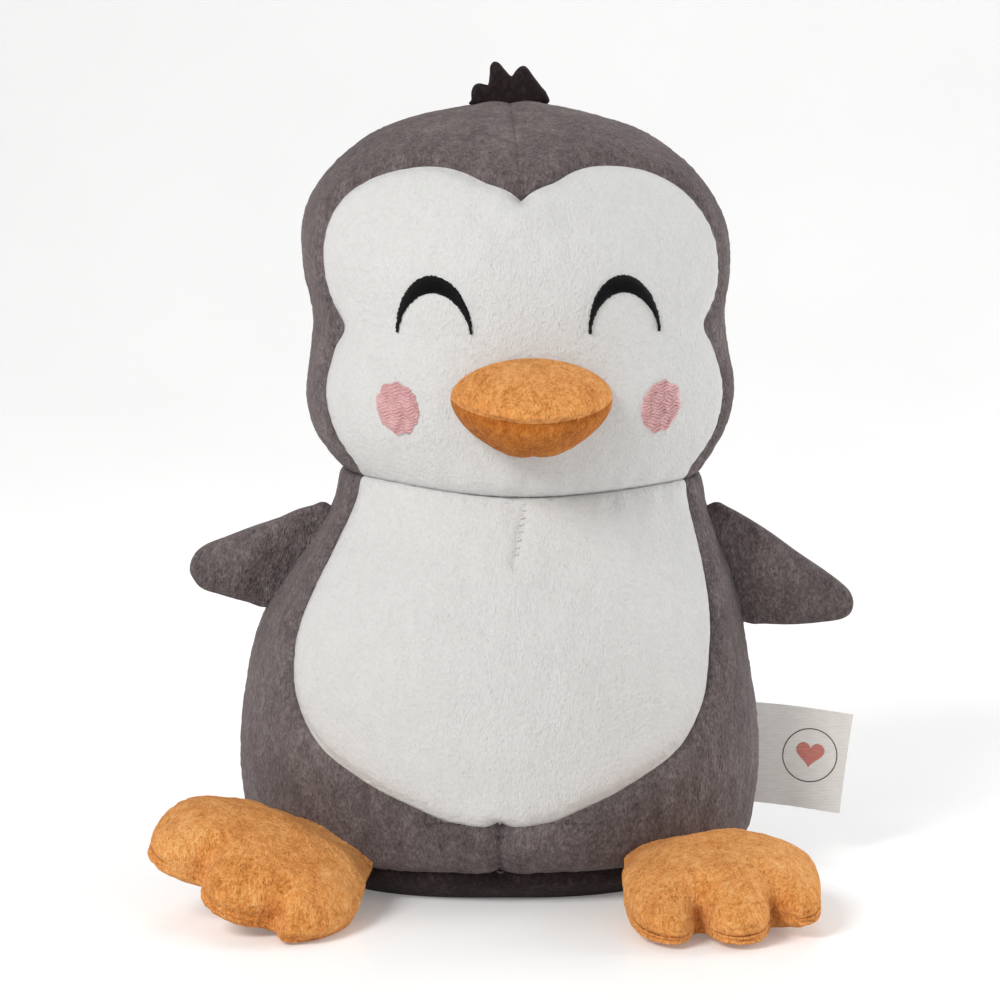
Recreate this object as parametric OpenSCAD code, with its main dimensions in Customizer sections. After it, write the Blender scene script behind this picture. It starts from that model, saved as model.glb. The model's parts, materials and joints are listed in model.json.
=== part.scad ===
// Sitting plush penguin, sewn from pile fabric panels over loose fibre stuffing.
// The head and the body are each drawn as one rounded form: a radius for every direction from
// the form's middle. Every sewn panel is a patch of such a form, with the cloth's thickness
// laid inwards. The penguin faces -Y, left and right are its own, and it sits on Z = 0.

/* [Whole toy] */
// Height of the toy from the floor to the tip of its tuft
toy_h = 270; // [180:5:400]
// Thickness of the pile fabric
cloth = 2; // [1.5:0.1:2.5]
// Room between the cloth and the stuffing
stuffing_gap = 1; // [0.8:0.1:2]

/* [Posture] */
// Sideways shift of the neck from the middle of the base
neck_shift = 7; // [0:0.5:9]
// How far the crown leans back towards the middle
crown_return = 4; // [0:0.5:6]
// Turn of the head about the upright axis
head_turn = 3; // [0:0.5:5]
// Heading of the left foot and of the right foot, outwards from straight ahead
foot_heading = [13, 27]; // [10:1:30]
// Roll of the left foot and of the right foot, outer side up
foot_roll = [5, 23]; // [3:1:24]

/* [Head] */
// Width of the beak
beak_w = 51.5; // [44:0.5:56]
// Height of the beak above the mouth seam
beak_up = 13; // [11:0.5:15]
// Height of the beak below the mouth seam
beak_down = 17.5; // [13:0.5:18.5]
// How far the beak stands out from the face
beak_out = 24; // [16:0.5:28]
// Width of each smiling eye
eye_w = 23.5; // [18:0.5:26]
// Height of each smiling eye
eye_h = 18.5; // [14:0.5:20]
// Thickness of the eye's arc at its top
eye_stroke = 4.6; // [3:0.1:6]
// Width of each cheek patch
cheek_w = 13.5; // [9:0.5:16]
// Height of each cheek patch
cheek_h = 16.8; // [12:0.2:18]
// Width of the tuft on the crown
tuft_w = 25; // [18:0.5:30]
// Height of the tuft's middle lobe
tuft_h = 12.4; // [9:0.1:16]

/* [Limbs] */
// Thickness of a wing at its middle
wing_thick = 15; // [10:0.5:16]
// Height of a foot's upper side above its edge seam
foot_up = 13; // [9:0.5:14]
// Depth of a foot's sole below its edge seam
foot_down = 7; // [4:0.5:8]

/* [Label] */
// Length of the sewn-in label, away from the seam
label_l = 29.5; // [18:0.5:34]
// Height of the sewn-in label, along the seam
label_h = 34.5; // [20:0.5:36]
// Thickness of the folded label
label_t = 0.9; // [0.6:0.1:1.2]

/* [Joints] */
// How far the head can nod, forwards or backwards
nod = 8; // [4:1:10]
// Clearance between pieces that move past each other
gap = 0.6; // [0.5:0.1:1]

/* [Hidden] */

// Every size below is drawn for this height and scaled with toy_h.
drawn_h = 270;
grey = [0.42, 0.38, 0.39];
white = [0.92, 0.92, 0.90];
orange = [0.88, 0.57, 0.28];
orange_dark = [0.79, 0.47, 0.19];
fibre = [0.96, 0.95, 0.92];
black = [0.07, 0.06, 0.06];
pink = [0.85, 0.62, 0.65];
tuft_grey = [0.26, 0.22, 0.22];
satin = [0.90, 0.89, 0.86];

// A form is its middle's height, then [angle from straight up, radius] knots for its side,
// front and back. Radii blend round the upright axis as an ellipse, slightly square at its waist.
squareness = 0.15;
head_z = 195;
body_z = 62;
neck_z = 132;
HEAD = [
    head_z,
    [[0, 61.4], [20, 63], [45, 69.6], [60, 73], [72, 73.8], [84, 71.4], [96, 69], [106, 72.5],
     [116, 79.5], [127, 84.2], [138, 85.6], [180, 60]],
    [[0, 61.4], [20, 61.5], [45, 64], [60, 65.5], [75, 65], [90, 63.5], [102, 63.5], [115, 67.5],
     [127, 73.5], [141, 80], [180, 60]],
    [[0, 61.4], [20, 61.8], [45, 64.2], [60, 66], [75, 66.2], [90, 65], [102, 64.5], [115, 66],
     [127, 70], [141, 79], [180, 60]]
];
BODY = [
    body_z,
    [[0, 70], [30, 84], [39.6, 90.5], [47, 86.3], [56, 84], [72, 84.2], [87, 85.3], [97, 88.1],
     [108, 92.4], [115, 95.4], [119.5, 97], [125, 94.8], [134, 89.1], [180, 62]],
    [[0, 70], [35.5, 86], [51, 77], [71, 72], [90, 72], [107, 77], [120, 83.4], [129.7, 84.5],
     [138.4, 82.9], [180, 62]],
    [[0, 70], [35.5, 86], [52, 78.4], [72, 74.6], [90, 75], [106, 79.1], [120, 85.1], [129, 86],
     [137.4, 84.2], [180, 62]]
];

// Seam lines, as [azimuth from straight ahead, angle from straight up] in degrees.
corner_az = 64;
FACE_SEAM = [
    [0, 59.5], [11, 55], [20, 51.2], [30, 49.8], [43, 52], [55, 57.5], [62.5, 64.5], [66, 73],
    [67.5, 82], [66, 92], [61, 98.7], [66.5, 105], [69.5, 112], [69, 120], [67, 128]
];
BELLY_SEAM = [
    [65.5, 50], [62.5, 63], [59.5, 76], [55, 88], [47, 97.5], [37, 103.5], [26, 108.8],
    [13, 113.8], [0, 115.5]
];

// Outlines, the left limb's first: a wing as [away from its root, down along its root], and a foot
// as [ahead, outwards]. A foot's is its toes and sides only, because its root follows the body.
WINGS = [
    [
        [-0.5, -18.5], [3.5, -15.5], [10.5, -7.6], [16, -0.5], [22, 8.3], [27.8, 16.6],
        [32.6, 24.5], [33.6, 29], [31.2, 33.5], [26.7, 34.8], [19, 33.4], [11.5, 31.4],
        [3, 28.4], [-2.2, 25.4], [-0.6, 0]
    ],
    [
        [0, -20.3], [3.5, -17], [7.2, -12.9], [11.2, -7], [18, 1.4], [23, 8.3], [27.6, 14.8],
        [29, 20], [27.4, 24.8], [24.2, 27.2], [19.6, 28.5], [11.5, 26.4], [4.5, 24.4],
        [-0.4, 22], [-0.6, 0]
    ]
];
wing_middle = [13, 9];
FEET = [
    [
        [18, -29.5], [34, -32.5], [49, -33.6], [59.5, -30.4], [65.4, -24.5], [62.5, -18.5],
        [56, -13.4], [65, -10.8], [71.5, -4.7], [70.5, 3], [64.5, 8.6], [57, 12], [62, 16],
        [64, 21.5], [59, 27], [46, 31.3], [32, 31.8], [18, 30.2]
    ],
    [
        [18, -30.5], [31.6, -36], [44, -37.8], [54, -36], [61, -29.5], [60, -23.5], [55.5, -19.5],
        [62, -13.2], [65.5, -5], [63.5, 3], [58.5, 7.6], [55, 9.6], [57.2, 16], [57.5, 23.5],
        [52.5, 31], [42, 34.8], [30, 34.6], [18, 32.6]
    ]
];
foot_root_w = [23, 12, 0, -12, -23.5];
foot_middle = [30, -1];
toe_pitch = 22;

// Where the limbs and the label are sewn on.
wing_root = [73.2, -6, 107];
wing_tilt = [20, 33];
foot_root = [[62, -51.5, 16], [61.5, -49.5, 21]];
foot_pitch = [9, 8];
label_root = [88.8, 3, 36];
label_dip = 7;
beak_z = 164.6;
eye_x = 30.4;
eye_z = 186;
cheek_x = 42.3;
cheek_z = 160.5;

thread = 1.2;
edge = 0.8;
side_left = 1;
side_right = -1;

// ---- numbers and curves ----
function smooth(t) = let (c = min(max(t, 0), 1)) c * c * (3 - 2 * c);
function mix(a, b, t) = a * (1 - t) + b * t;

// Height at x of the smooth curve through knots of [x, height].
function knot_slope(k, i) =
    i <= 0 || i >= len(k) - 1 ? 0 : (k[i + 1][1] - k[i - 1][1]) / (k[i + 1][0] - k[i - 1][0]);
function knot_span(k, x, i = 0) = i >= len(k) - 2 || x <= k[i + 1][0] ? i : knot_span(k, x, i + 1);
function through(k, x) =
    let (
        i = knot_span(k, x),
        w = k[i + 1][0] - k[i][0],
        s = min(max((x - k[i][0]) / w, 0), 1)
    )
    (1 + 2 * s) * (1 - s) * (1 - s) * k[i][1] + s * (1 - s) * (1 - s) * w * knot_slope(k, i)
    + s * s * (3 - 2 * s) * k[i + 1][1] - s * s * (1 - s) * w * knot_slope(k, i + 1);

// Points of a smooth curve through p, n to a span. A closed curve runs on from its last point.
function bend(a, b, c, d, t) =
    0.5 * (2 * b + (c - a) * t + (2 * a - 5 * b + 4 * c - d) * t * t
    + (3 * b - a - 3 * c + d) * t * t * t);
function curve(p, n, closed = false) =
    let (m = len(p), last = closed ? m - 1 : m - 2)
    [
        for (i = [0 : last], k = [0 : n - 1])
            bend(
                closed ? p[(i + m - 1) % m] : p[max(i - 1, 0)],
                p[i],
                p[(i + 1) % m],
                closed ? p[(i + 2) % m] : p[min(i + 2, m - 1)],
                k / n
            ),
        if (!closed) p[m - 1]
    ];

// ---- forms ----
function direction(az, polar) = [sin(polar) * sin(az), -sin(polar) * cos(az), cos(polar)];

// Radius of a form along a unit direction. The body is cut off flat where it meets the floor.
function form_radius(form, d) =
    let (
        polar = acos(min(max(d[2], -1), 1)),
        flat = max(norm([d[0], d[1]]), 0.000001),
        square = 2 + squareness * flat,
        across = pow(abs(d[0]) / flat / through(form[1], polar), square),
        along = pow(abs(d[1]) / flat / through(d[1] < 0 ? form[2] : form[3], polar), square),
        r = d[2] * d[2] > 0.999999 ? through(form[1], polar) : pow(across + along, -1 / square)
    )
    form[0] == body_z && d[2] < 0 ? min(r, body_z / -d[2]) : r;

// Height of the seat of the neck above or below a form's middle, which falls away to the front
// and back so that the head can nod.
neck_slope = tan(nod / 2);
function neck_side(form) = form[0] == head_z ? -1 : 1;
function neck_reach(form, d) =
    let (s = neck_side(form)) s * d[2] + neck_slope * abs(d[1]);
function neck_height(form) = abs(neck_z - form[0]) - gap / 2;

// Angle from straight up at which a form meets the neck's seat, found by halving.
function neck_polar(form, az, lo = 20, hi = 160, steps = 16) =
    steps == 0 ? (lo + hi) / 2 :
    let (
        polar = (lo + hi) / 2,
        d = direction(az, polar),
        inside = form_radius(form, d) * neck_reach(form, d) < neck_height(form),
        lower = neck_side(form) > 0 ? inside : !inside
    )
    lower ? neck_polar(form, az, lo, polar, steps - 1) : neck_polar(form, az, polar, hi, steps - 1);

// The posture: the neck and the head stand to one side, and the head is turned.
function posture(p) =
    let (
        a = head_turn * smooth((p[2] - 110) / 40),
        shift = neck_shift * smooth((p[2] - 70) / 60) - crown_return * smooth((p[2] - 165) / 90)
    )
    [p[0] * cos(a) - p[1] * sin(a) + shift, p[0] * sin(a) + p[1] * cos(a), p[2]];

// A flat map of directions: the distance from the map's middle is the angle from straight up.
function to_map(ap) = ap[1] * [sin(ap[0]), cos(ap[0])];
function from_map(q) = direction(atan2(q[0], q[1]), norm(q));
function on_form(form, q, inset) =
    let (d = from_map(q)) posture([0, 0, form[0]] + d * (form_radius(form, d) - inset));

// ---- solids from grids of points ----
function flat_list(rows) = [for (r = rows) for (p = r) p];
function quad(a, b, c, d) = [[a, b, c], [a, c, d]];

// A closed solid between two grids of the same size.
module slab(top, bottom, flip = false) {
    rows = len(top);
    cols = len(top[0]);
    n = rows * cols;
    faces = [
        for (i = [0 : rows - 2], j = [0 : cols - 2])
            let (a = i * cols + j, b = a + 1, c = b + cols, d = a + cols)
            each concat(quad(a, b, c, d), quad(n + d, n + c, n + b, n + a)),
        for (i = [0 : rows - 2])
            let (a = i * cols, d = a + cols, b = a + cols - 1, c = d + cols - 1)
            each concat(quad(d, n + d, n + a, a), quad(b, n + b, n + c, c)),
        for (j = [0 : cols - 2])
            let (a = j, b = j + 1, d = (rows - 1) * cols + j, c = d + 1)
            each concat(quad(a, n + a, n + b, b), quad(c, n + c, n + d, d))
    ];
    polyhedron(
        points = concat(flat_list(top), flat_list(bottom)),
        faces = flip ? [for (f = faces) [f[2], f[1], f[0]]] : faces
    );
}

// A closed solid between two fans, each a middle point and rings round it.
module fan_slab(top_middle, top, bottom_middle, bottom, flip = false) {
    rings = len(top);
    m = len(top[0]);
    n = 1 + rings * m;
    faces = [
        for (j = [0 : m - 1])
            let (a = 1 + j, b = 1 + (j + 1) % m)
            each [[0, a, b], [n, n + b, n + a]],
        for (i = [0 : rings - 2], j = [0 : m - 1])
            let (a = 1 + i * m + j, b = 1 + i * m + (j + 1) % m, c = b + m, d = a + m)
            each concat(quad(a, d, c, b), quad(n + b, n + c, n + d, n + a)),
        for (j = [0 : m - 1])
            let (a = 1 + (rings - 1) * m + j, b = 1 + (rings - 1) * m + (j + 1) % m)
            each quad(a, n + a, n + b, b)
    ];
    polyhedron(
        points = concat([top_middle], flat_list(top), [bottom_middle], flat_list(bottom)),
        faces = flip ? [for (f = faces) [f[2], f[1], f[0]]] : faces
    );
}

// ---- seam lines on the map ----
head_corner = [corner_az, neck_polar(HEAD, corner_az)];
body_corner = [corner_az, neck_polar(BODY, corner_az)];
face_edge = curve([for (k = concat(FACE_SEAM, [head_corner])) to_map(k)], 2);
belly_edge = curve([for (k = concat([body_corner], BELLY_SEAM)) to_map(k)], 2);
base_front = 128.3;
base_side = 124;
function base_polar(az) = mix(base_side, base_front, pow(abs(cos(az)), 4));
centre_steps = 3;
front_edge = concat(
    belly_edge,
    [for (i = [1 : centre_steps]) [0, mix(BELLY_SEAM[len(BELLY_SEAM) - 1][1], base_front,
        i / centre_steps)]]
);
// The seams' points are counted out from the notch to the top of a lobe, and from the bottom of
// the belly to its lower corner.
lobe = 8;
lower_corner = 10;
function mirrored(q) = [-q[0], q[1]];
function reversed(p) = [for (i = [len(p) - 1 : -1 : 0]) p[i]];
side_steps = 12;
function neck_arc(form, az_from, az_to, steps) =
    [for (i = [0 : steps]) let (az = mix(az_from, az_to, i / steps)) to_map([az, neck_polar(form, az)])];

// A patch of the map between four edges that meet at its corners.
function patch(first, last, left, right) =
    let (rows = len(left) - 1, cols = len(first) - 1)
    [
        for (i = [0 : rows])
            [
                for (j = [0 : cols])
                    let (s = i / rows, t = j / cols)
                    mix(first[j], last[j], s) + mix(left[i], right[i], t)
                    - mix(mix(first[0], first[cols], t), mix(last[0], last[cols], t), s)
            ]
    ];
module form_slab(form, grid, flip) {
    slab(
        [for (r = grid) [for (q = r) on_form(form, q, 0)]],
        [for (r = grid) [for (q = r) on_form(form, q, cloth)]],
        flip
    );
}
// ---- head ----
// One side of the head: from the face seam over to the crown and back seam, down to the neck.
module head_side(side) {
    left = [for (i = [lobe : len(face_edge) - 1]) face_edge[i]];
    rows = len(left) - 1;
    back = neck_polar(HEAD, 180);
    right = [for (i = [0 : rows]) [0, mix(FACE_SEAM[0][1], -back, i / rows)]];
    first = [for (j = [lobe : -1 : 0]) face_edge[j]];
    last = neck_arc(HEAD, corner_az, 180, lobe);
    grid = patch(first, last, left, right);
    form_slab(HEAD, side > 0 ? grid : [for (r = grid) [for (q = r) mirrored(q)]], side < 0);
}
module head_left_panel() {
    color(grey) head_side(side_left);
}
module head_right_panel() {
    color(grey) head_side(side_right);
}
module face_panel() {
    right = [for (i = [lobe : len(face_edge) - 1]) face_edge[i]];
    left = [for (q = right) mirrored(q)];
    first = concat(
        [for (j = [lobe : -1 : 1]) mirrored(face_edge[j])],
        [for (j = [0 : lobe]) face_edge[j]]
    );
    last = neck_arc(HEAD, -corner_az, corner_az, 2 * lobe);
    color(white) form_slab(HEAD, patch(first, last, left, right), false);
}

// The stuffing fills a form inside its cloth, down or up to the neck's seat.
module stuffing(form, turns, levels) {
    inset = cloth + stuffing_gap;
    function place(az, polar) =
        let (
            d = direction(az, polar),
            reach = neck_reach(form, d),
            seat = reach > 0 ? (neck_height(form) - stuffing_gap) / reach : 1000
        )
        posture([0, 0, form[0]] + d * min(form_radius(form, d) - inset, seat));
    rings = [
        for (i = [1 : levels - 1])
            [for (j = [0 : turns - 1]) place(360 * j / turns, 180 * i / levels)]
    ];
    m = turns;
    n = 1 + (levels - 1) * m;
    polyhedron(
        points = concat([place(0, 0)], flat_list(rings), [place(0, 180)]),
        faces = [
            for (j = [0 : m - 1])
                let (a = 1 + j, b = 1 + (j + 1) % m, k = (levels - 2) * m)
                each [[0, b, a], [n, a + k, b + k]],
            for (i = [0 : levels - 3], j = [0 : m - 1])
                let (a = 1 + i * m + j, b = 1 + i * m + (j + 1) % m)
                each quad(a, b, b + m, a + m)
        ]
    );
}
module head_stuffing() {
    color(fibre) stuffing(HEAD, 24, 14);
}

// Depth of the face at x and z, found by halving between the head's middle and well in front.
function face_y(x, z, near = -90, far = -10, steps = 16) =
    steps == 0 ? (near + far) / 2 :
    let (
        y = (near + far) / 2,
        v = [x, y, z - head_z],
        outside = norm(v) > form_radius(HEAD, v / norm(v))
    )
    outside ? face_y(x, z, y, far, steps - 1) : face_y(x, z, near, y, steps - 1);
function on_face(x, z, out) = posture([x, face_y(x, z) - out, z]);

// ---- beak ----
// Its height over the face is a dome on an oval, more pointed below than above, and it hangs a
// little as it comes out.
beak_hang = 0.24;
power_up = 1.9;
power_down = 1.75;
function beak_height(x, z, shrink) =
    let (
        a = beak_w / 2 - shrink,
        b = (z > 0 ? beak_up : beak_down) - shrink,
        power = z > 0 ? power_up : power_down,
        q = pow(pow(abs(x) / a, power) + pow(abs(z) / b, power), 1 / power)
    )
    q >= 1 ? 0 : (beak_out - shrink) * pow(1 - q * q, 0.62);
function beak_point(x, z, out) = on_face(x, beak_z + z - beak_hang * out, out + 0.3);
function beak_grid(up, shrink_grid) =
    let (
        a = beak_w / 2 - shrink_grid,
        b = (up ? beak_up : beak_down) - shrink_grid,
        power = up ? power_up : power_down
    )
    [
        for (i = [-9 : 9])
            let (u = sin(i * 9.4), rim = pow(1 - pow(abs(u), power), 1 / power))
            [for (j = [0 : 6]) [a * u, (up ? 1 : -1) * b * rim * sin(j * 15)]]
    ];
module beak_half(up) {
    grid = beak_grid(up, 0);
    outer = [for (r = grid) [for (q = r) beak_point(q[0], q[1], max(beak_height(q[0], q[1], 0), edge))]];
    inner = [for (r = grid) [for (q = r) beak_point(q[0], q[1], beak_height(q[0], q[1], cloth))]];
    slab(outer, inner, !up);
}
module beak_upper() {
    color(orange) beak_half(true);
}
module beak_lower() {
    color(orange_dark) beak_half(false);
}
module beak_stuffing() {
    shrink = cloth + stuffing_gap;
    half = beak_grid(true, shrink + 1);
    low = beak_grid(false, shrink + 1);
    grid = [
        for (i = [0 : len(half) - 1])
            concat(reversed([for (j = [1 : len(low[i]) - 1]) low[i][j]]), half[i])
    ];
    outer = [for (r = grid) [for (q = r)
        beak_point(q[0], q[1], max(beak_height(q[0], q[1], shrink), 2 * edge))]];
    inner = [for (r = grid) [for (q = r) beak_point(q[0], q[1], edge / 2)]];
    color(fibre) slab(outer, inner, false);
}

// ---- embroidery ----
// A smiling eye: an arch of stitches, thick on top and thin at both ends.
module eye(side) {
    arc = [for (i = [0 : 16]) 180 * i / 16];
    function stroke(a) = mix(1.4, eye_stroke, pow(sin(a), 1.2));
    function at(a, v) =
        let (
            w = stroke(a),
            rx = eye_w / 2 - v * w,
            rz = eye_h - v * w
        )
        [side * (eye_x + rx * cos(a)), eye_z + rz * sin(a) - 1];
    top = [for (a = arc) [for (v = [0 : 0.5 : 1]) let (q = at(a, v)) on_face(q[0], q[1], 0.1 + thread)]];
    low = [for (a = arc) [for (v = [0 : 0.5 : 1]) let (q = at(a, v)) on_face(q[0], q[1], 0.1)]];
    slab(top, low, side < 0);
}
module eye_left() {
    color(black) eye(side_left);
}
module eye_right() {
    color(black) eye(side_right);
}
// A cheek: an upright oval patch of stitches whose top leans outwards.
module cheek(side) {
    lean = 0.12;
    oval = [for (i = [0 : 23]) [cheek_w / 2 * cos(15 * i), cheek_h / 2 * sin(15 * i)]];
    function at(q, k, out) =
        on_face(side * cheek_x + k * (q[0] + side * lean * q[1]), cheek_z + k * q[1], out);
    fan_slab(
        at([0, 0], 1, 0.1 + thread),
        [for (k = [0.5, 1]) [for (q = oval) at(q, k, 0.1 + thread)]],
        at([0, 0], 1, 0.1),
        [for (k = [0.5, 1]) [for (q = oval) at(q, k, 0.1)]],
        true
    );
}
module cheek_left() {
    color(pink) cheek(side_left);
}
module cheek_right() {
    color(pink) cheek(side_right);
}

// ---- tuft ----
// Three rounded lobes cut from two layers of velvet, standing on the crown.
tuft_foot = HEAD[1][0][1] + head_z + gap + 0.5;
module tuft_layer(y_from, y_to) {
    w = tuft_w / 2;
    h = tuft_h;
    outline = [
        [-w, 0], [-0.96 * w, 0.28 * h], [-0.8 * w, 0.4 * h], [-0.55 * w, 0.36 * h],
        [-0.4 * w, 0.62 * h], [-0.3 * w, 0.95 * h], [-0.16 * w, h], [0.06 * w, 0.84 * h],
        [0.2 * w, 0.68 * h], [0.34 * w, 0.82 * h], [0.5 * w, 0.84 * h], [0.72 * w, 0.6 * h],
        [0.94 * w, 0.3 * h], [w, 0]
    ];
    top_y = posture([0, 0, tuft_foot]);
    translate([top_y[0], 0, tuft_foot])
        rotate([90, 0, 0])
            translate([0, 0, -y_to])
                linear_extrude(height = y_to - y_from) polygon(curve(outline, 2));
}
tuft_layer_t = 2.2;
module tuft_front() {
    color(tuft_grey) tuft_layer(-tuft_layer_t - 0.1, -0.1);
}
module tuft_back() {
    color(tuft_grey) tuft_layer(0.1, tuft_layer_t + 0.1);
}

// ---- body ----
module body_side(side) {
    left = front_edge;
    rows = len(left) - 1;
    back_top = neck_polar(BODY, 180);
    // Rows run in azimuth and angle, so that they follow the body round.
    grid = [
        for (i = [0 : rows])
            [
                for (j = [0 : side_steps])
                    let (
                        s = i / rows,
                        t = j / side_steps,
                        fa = atan2(left[i][0], left[i][1]),
                        fp = norm(left[i]),
                        az = mix(fa, 180, t),
                        straight = mix(fp, mix(back_top, base_polar(180), s), t),
                        top = neck_polar(BODY, az) - mix(neck_polar(BODY, fa), back_top, t),
                        foot = base_polar(az) - mix(base_polar(fa), base_polar(180), t)
                    )
                    to_map([az, straight + mix(top, foot, s)])
            ]
    ];
    form_slab(BODY, side > 0 ? grid : [for (r = grid) [for (q = r) mirrored(q)]], side < 0);
}
module body_left_panel() {
    color(grey) body_side(side_left);
}
module body_right_panel() {
    color(grey) body_side(side_right);
}
module belly_panel() {
    right = [for (i = [0 : lower_corner]) belly_edge[i]];
    left = [for (q = right) mirrored(q)];
    ends = len(belly_edge) - 1;
    last = concat(
        [for (i = [lower_corner : ends]) mirrored(belly_edge[i])],
        [for (i = [ends - 1 : -1 : lower_corner]) belly_edge[i]]
    );
    first = neck_arc(BODY, -corner_az, corner_az, len(last) - 1);
    color(white) form_slab(BODY, patch(first, last, left, right), false);
}
// The base: a dish whose flat middle rests on the floor, from the base seam inwards.
module base_panel() {
    steps = 2 * side_steps;
    flat_polar = 142;
    function at(az, k, inset) =
        let (d = direction(az, mix(flat_polar, base_polar(az), k)))
        posture([0, 0, body_z] + d * (form_radius(BODY, d) - inset));
    levels = [0, 0.3, 0.6, 1];
    turns = [for (j = [0 : steps - 1]) 360 * j / steps];
    color(grey) fan_slab(
        [0, 0, 0],
        [for (k = levels) [for (az = turns) at(az, k, 0)]],
        [0, 0, cloth],
        [for (k = levels) [for (az = turns) at(az, k, cloth)]]
    );
}
module body_stuffing() {
    color(fibre) stuffing(BODY, 24, 14);
}

// ---- pads: wings and feet ----
// A pad is two cloths over a stuffing core, sewn together round an outline in its own plane.
// height(k, p) is how far a cloth stands from that plane, k of the way out from the middle.
pad_rings = [0.35, 0.65, 0.87, 1];
function pad_ring(outline, middle, k) = [for (p = outline) mix(middle, p, k)];

function wing_place(side, p, out) =
    let (
        shift = posture(wing_root)[0] - wing_root[0],
        tilt = side > 0 ? wing_tilt[0] : wing_tilt[1],
        x = p[0] * cos(tilt) + p[1] * sin(tilt),
        z = p[0] * sin(tilt) - p[1] * cos(tilt)
    )
    [side * (wing_root[0] + x) + shift, wing_root[1] + out, wing_root[2] + z];
function wing_height(k, p) =
    (wing_thick / 2) * pow(max(1 - pow(k, 2.4), 0), 0.6) * mix(0.12, 1, smooth(p[0] / 20));
module wing_cloth(side, front) {
    outline = curve(side > 0 ? WINGS[0] : WINGS[1], 2, true);
    function at(q, k, grow) =
        let (h = max(wing_height(k, q) - grow, 0) + (grow > 0 ? 0.2 : edge))
        wing_place(side, q, (front ? -1 : 1) * h);
    fan_slab(
        at(wing_middle, 0, 0),
        [for (k = pad_rings) [for (q = pad_ring(outline, wing_middle, k)) at(q, k, 0)]],
        at(wing_middle, 0, cloth),
        [for (k = pad_rings) [for (q = pad_ring(outline, wing_middle, k)) at(q, k, cloth)]],
        (side > 0) != front
    );
}
module wing_core(side) {
    outline = side > 0 ? WINGS[0] : WINGS[1];
    core_rings = [0.4, 0.68, 0.84];
    function at(q, k, way) =
        let (h = max(wing_height(k, q) - cloth - 0.5, 0.15))
        wing_place(side, q, way * h);
    fan_slab(
        at(wing_middle, 0, -1),
        [for (k = core_rings) [for (q = pad_ring(outline, wing_middle, k)) at(q, k, -1)]],
        at(wing_middle, 0, 1),
        [for (k = core_rings) [for (q = pad_ring(outline, wing_middle, k)) at(q, k, 1)]],
        side < 0
    );
}
module wing_left_front() {
    color(grey) wing_cloth(side_left, true);
}
module wing_left_back() {
    color(grey) wing_cloth(side_left, false);
}
module wing_left_stuffing() {
    color(fibre) wing_core(side_left);
}
module wing_right_front() {
    color(grey) wing_cloth(side_right, true);
}
module wing_right_back() {
    color(grey) wing_cloth(side_right, false);
}
module wing_right_stuffing() {
    color(fibre) wing_core(side_right);
}

// A foot slopes down from its root to its toes and rolls so that its outer toe is off the floor.
function foot_place(side, p, out, low) =
    let (
        i = side > 0 ? 0 : 1,
        roll = foot_roll[i],
        pitch = foot_pitch[i],
        head = foot_heading[i],
        w = p[1] * cos(roll) - out * sin(roll),
        up = p[1] * sin(roll) + out * cos(roll),
        ahead = p[0] * cos(pitch) + up * sin(pitch),
        z = -p[0] * sin(pitch) + up * cos(pitch)
    )
    [
        side * (foot_root[i][0] + ahead * sin(head) + w * cos(head)),
        foot_root[i][1] - ahead * cos(head) + w * sin(head),
        max(foot_root[i][2] + z, low)
    ];
// How far back the root reaches at w across the foot, found by halving, to stay clear of the body.
root_gap = 3.2;
function root_ahead(side, w, lo = -40, hi = 30, steps = 14) =
    steps == 0 ? hi :
    let (
        u = (lo + hi) / 2,
        v = foot_place(side, [u, w], 0, -100) - [0, 0, body_z],
        inside = norm(v) - form_radius(BODY, v / norm(v)) < root_gap
    )
    inside ? root_ahead(side, w, u, hi, steps - 1) : root_ahead(side, w, lo, u, steps - 1);
function foot_outline(side) =
    concat(side > 0 ? FEET[0] : FEET[1], [for (w = foot_root_w) [root_ahead(side, w), w]]);
// The line between the root's two ends: its outer end first.
function root_line(side) = [for (w = [23, -23.5]) root_ahead(side, w)];
// Each toe is a soft ridge, and the pad is thin where it is sewn to the body.
function foot_height(k, p, tall, line) =
    let (
        ridge = 1 - 0.16 * smooth((p[0] - 26) / 24) * (1 - pow(cos(180 * (p[1] + 0.4) / toe_pitch), 2)),
        back = mix(line[1], line[0], (p[1] + 23.5) / 46.5),
        root = mix(0.2, 1, smooth((p[0] - back) / 20))
    )
    tall * pow(max(1 - pow(k, 2.6), 0), 0.55) * ridge * root;
floor_gap = 0.3;
module foot_cloth(side, upper) {
    outline = curve(foot_outline(side), 2, true);
    line = root_line(side);
    tall = upper ? foot_up : foot_down;
    function at(q, k, grow) =
        let (h = max(foot_height(k, q, tall, line) - grow, 0) + (grow > 0 ? 0.2 : edge))
        foot_place(side, q, (upper ? 1 : -1) * h,
            upper ? floor_gap + cloth : grow > 0 ? floor_gap + cloth - 0.4 : floor_gap);
    fan_slab(
        at(foot_middle, 0, 0),
        [for (k = pad_rings) [for (q = pad_ring(outline, foot_middle, k)) at(q, k, 0)]],
        at(foot_middle, 0, cloth),
        [for (k = pad_rings) [for (q = pad_ring(outline, foot_middle, k)) at(q, k, cloth)]],
        (side > 0) == upper
    );
}
module foot_core(side) {
    outline = foot_outline(side);
    line = root_line(side);
    core_rings = [0.4, 0.68, 0.84];
    function at(q, k, upper) =
        let (h = max(foot_height(k, q, upper ? foot_up : foot_down, line) - cloth - 0.5, 0.15))
        foot_place(side, q, (upper ? 1 : -1) * h, floor_gap + cloth + (upper ? 1.2 : 0.4));
    fan_slab(
        at(foot_middle, 0, true),
        [for (k = core_rings) [for (q = pad_ring(outline, foot_middle, k)) at(q, k, true)]],
        at(foot_middle, 0, false),
        [for (k = core_rings) [for (q = pad_ring(outline, foot_middle, k)) at(q, k, false)]],
        side > 0
    );
}
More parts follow.
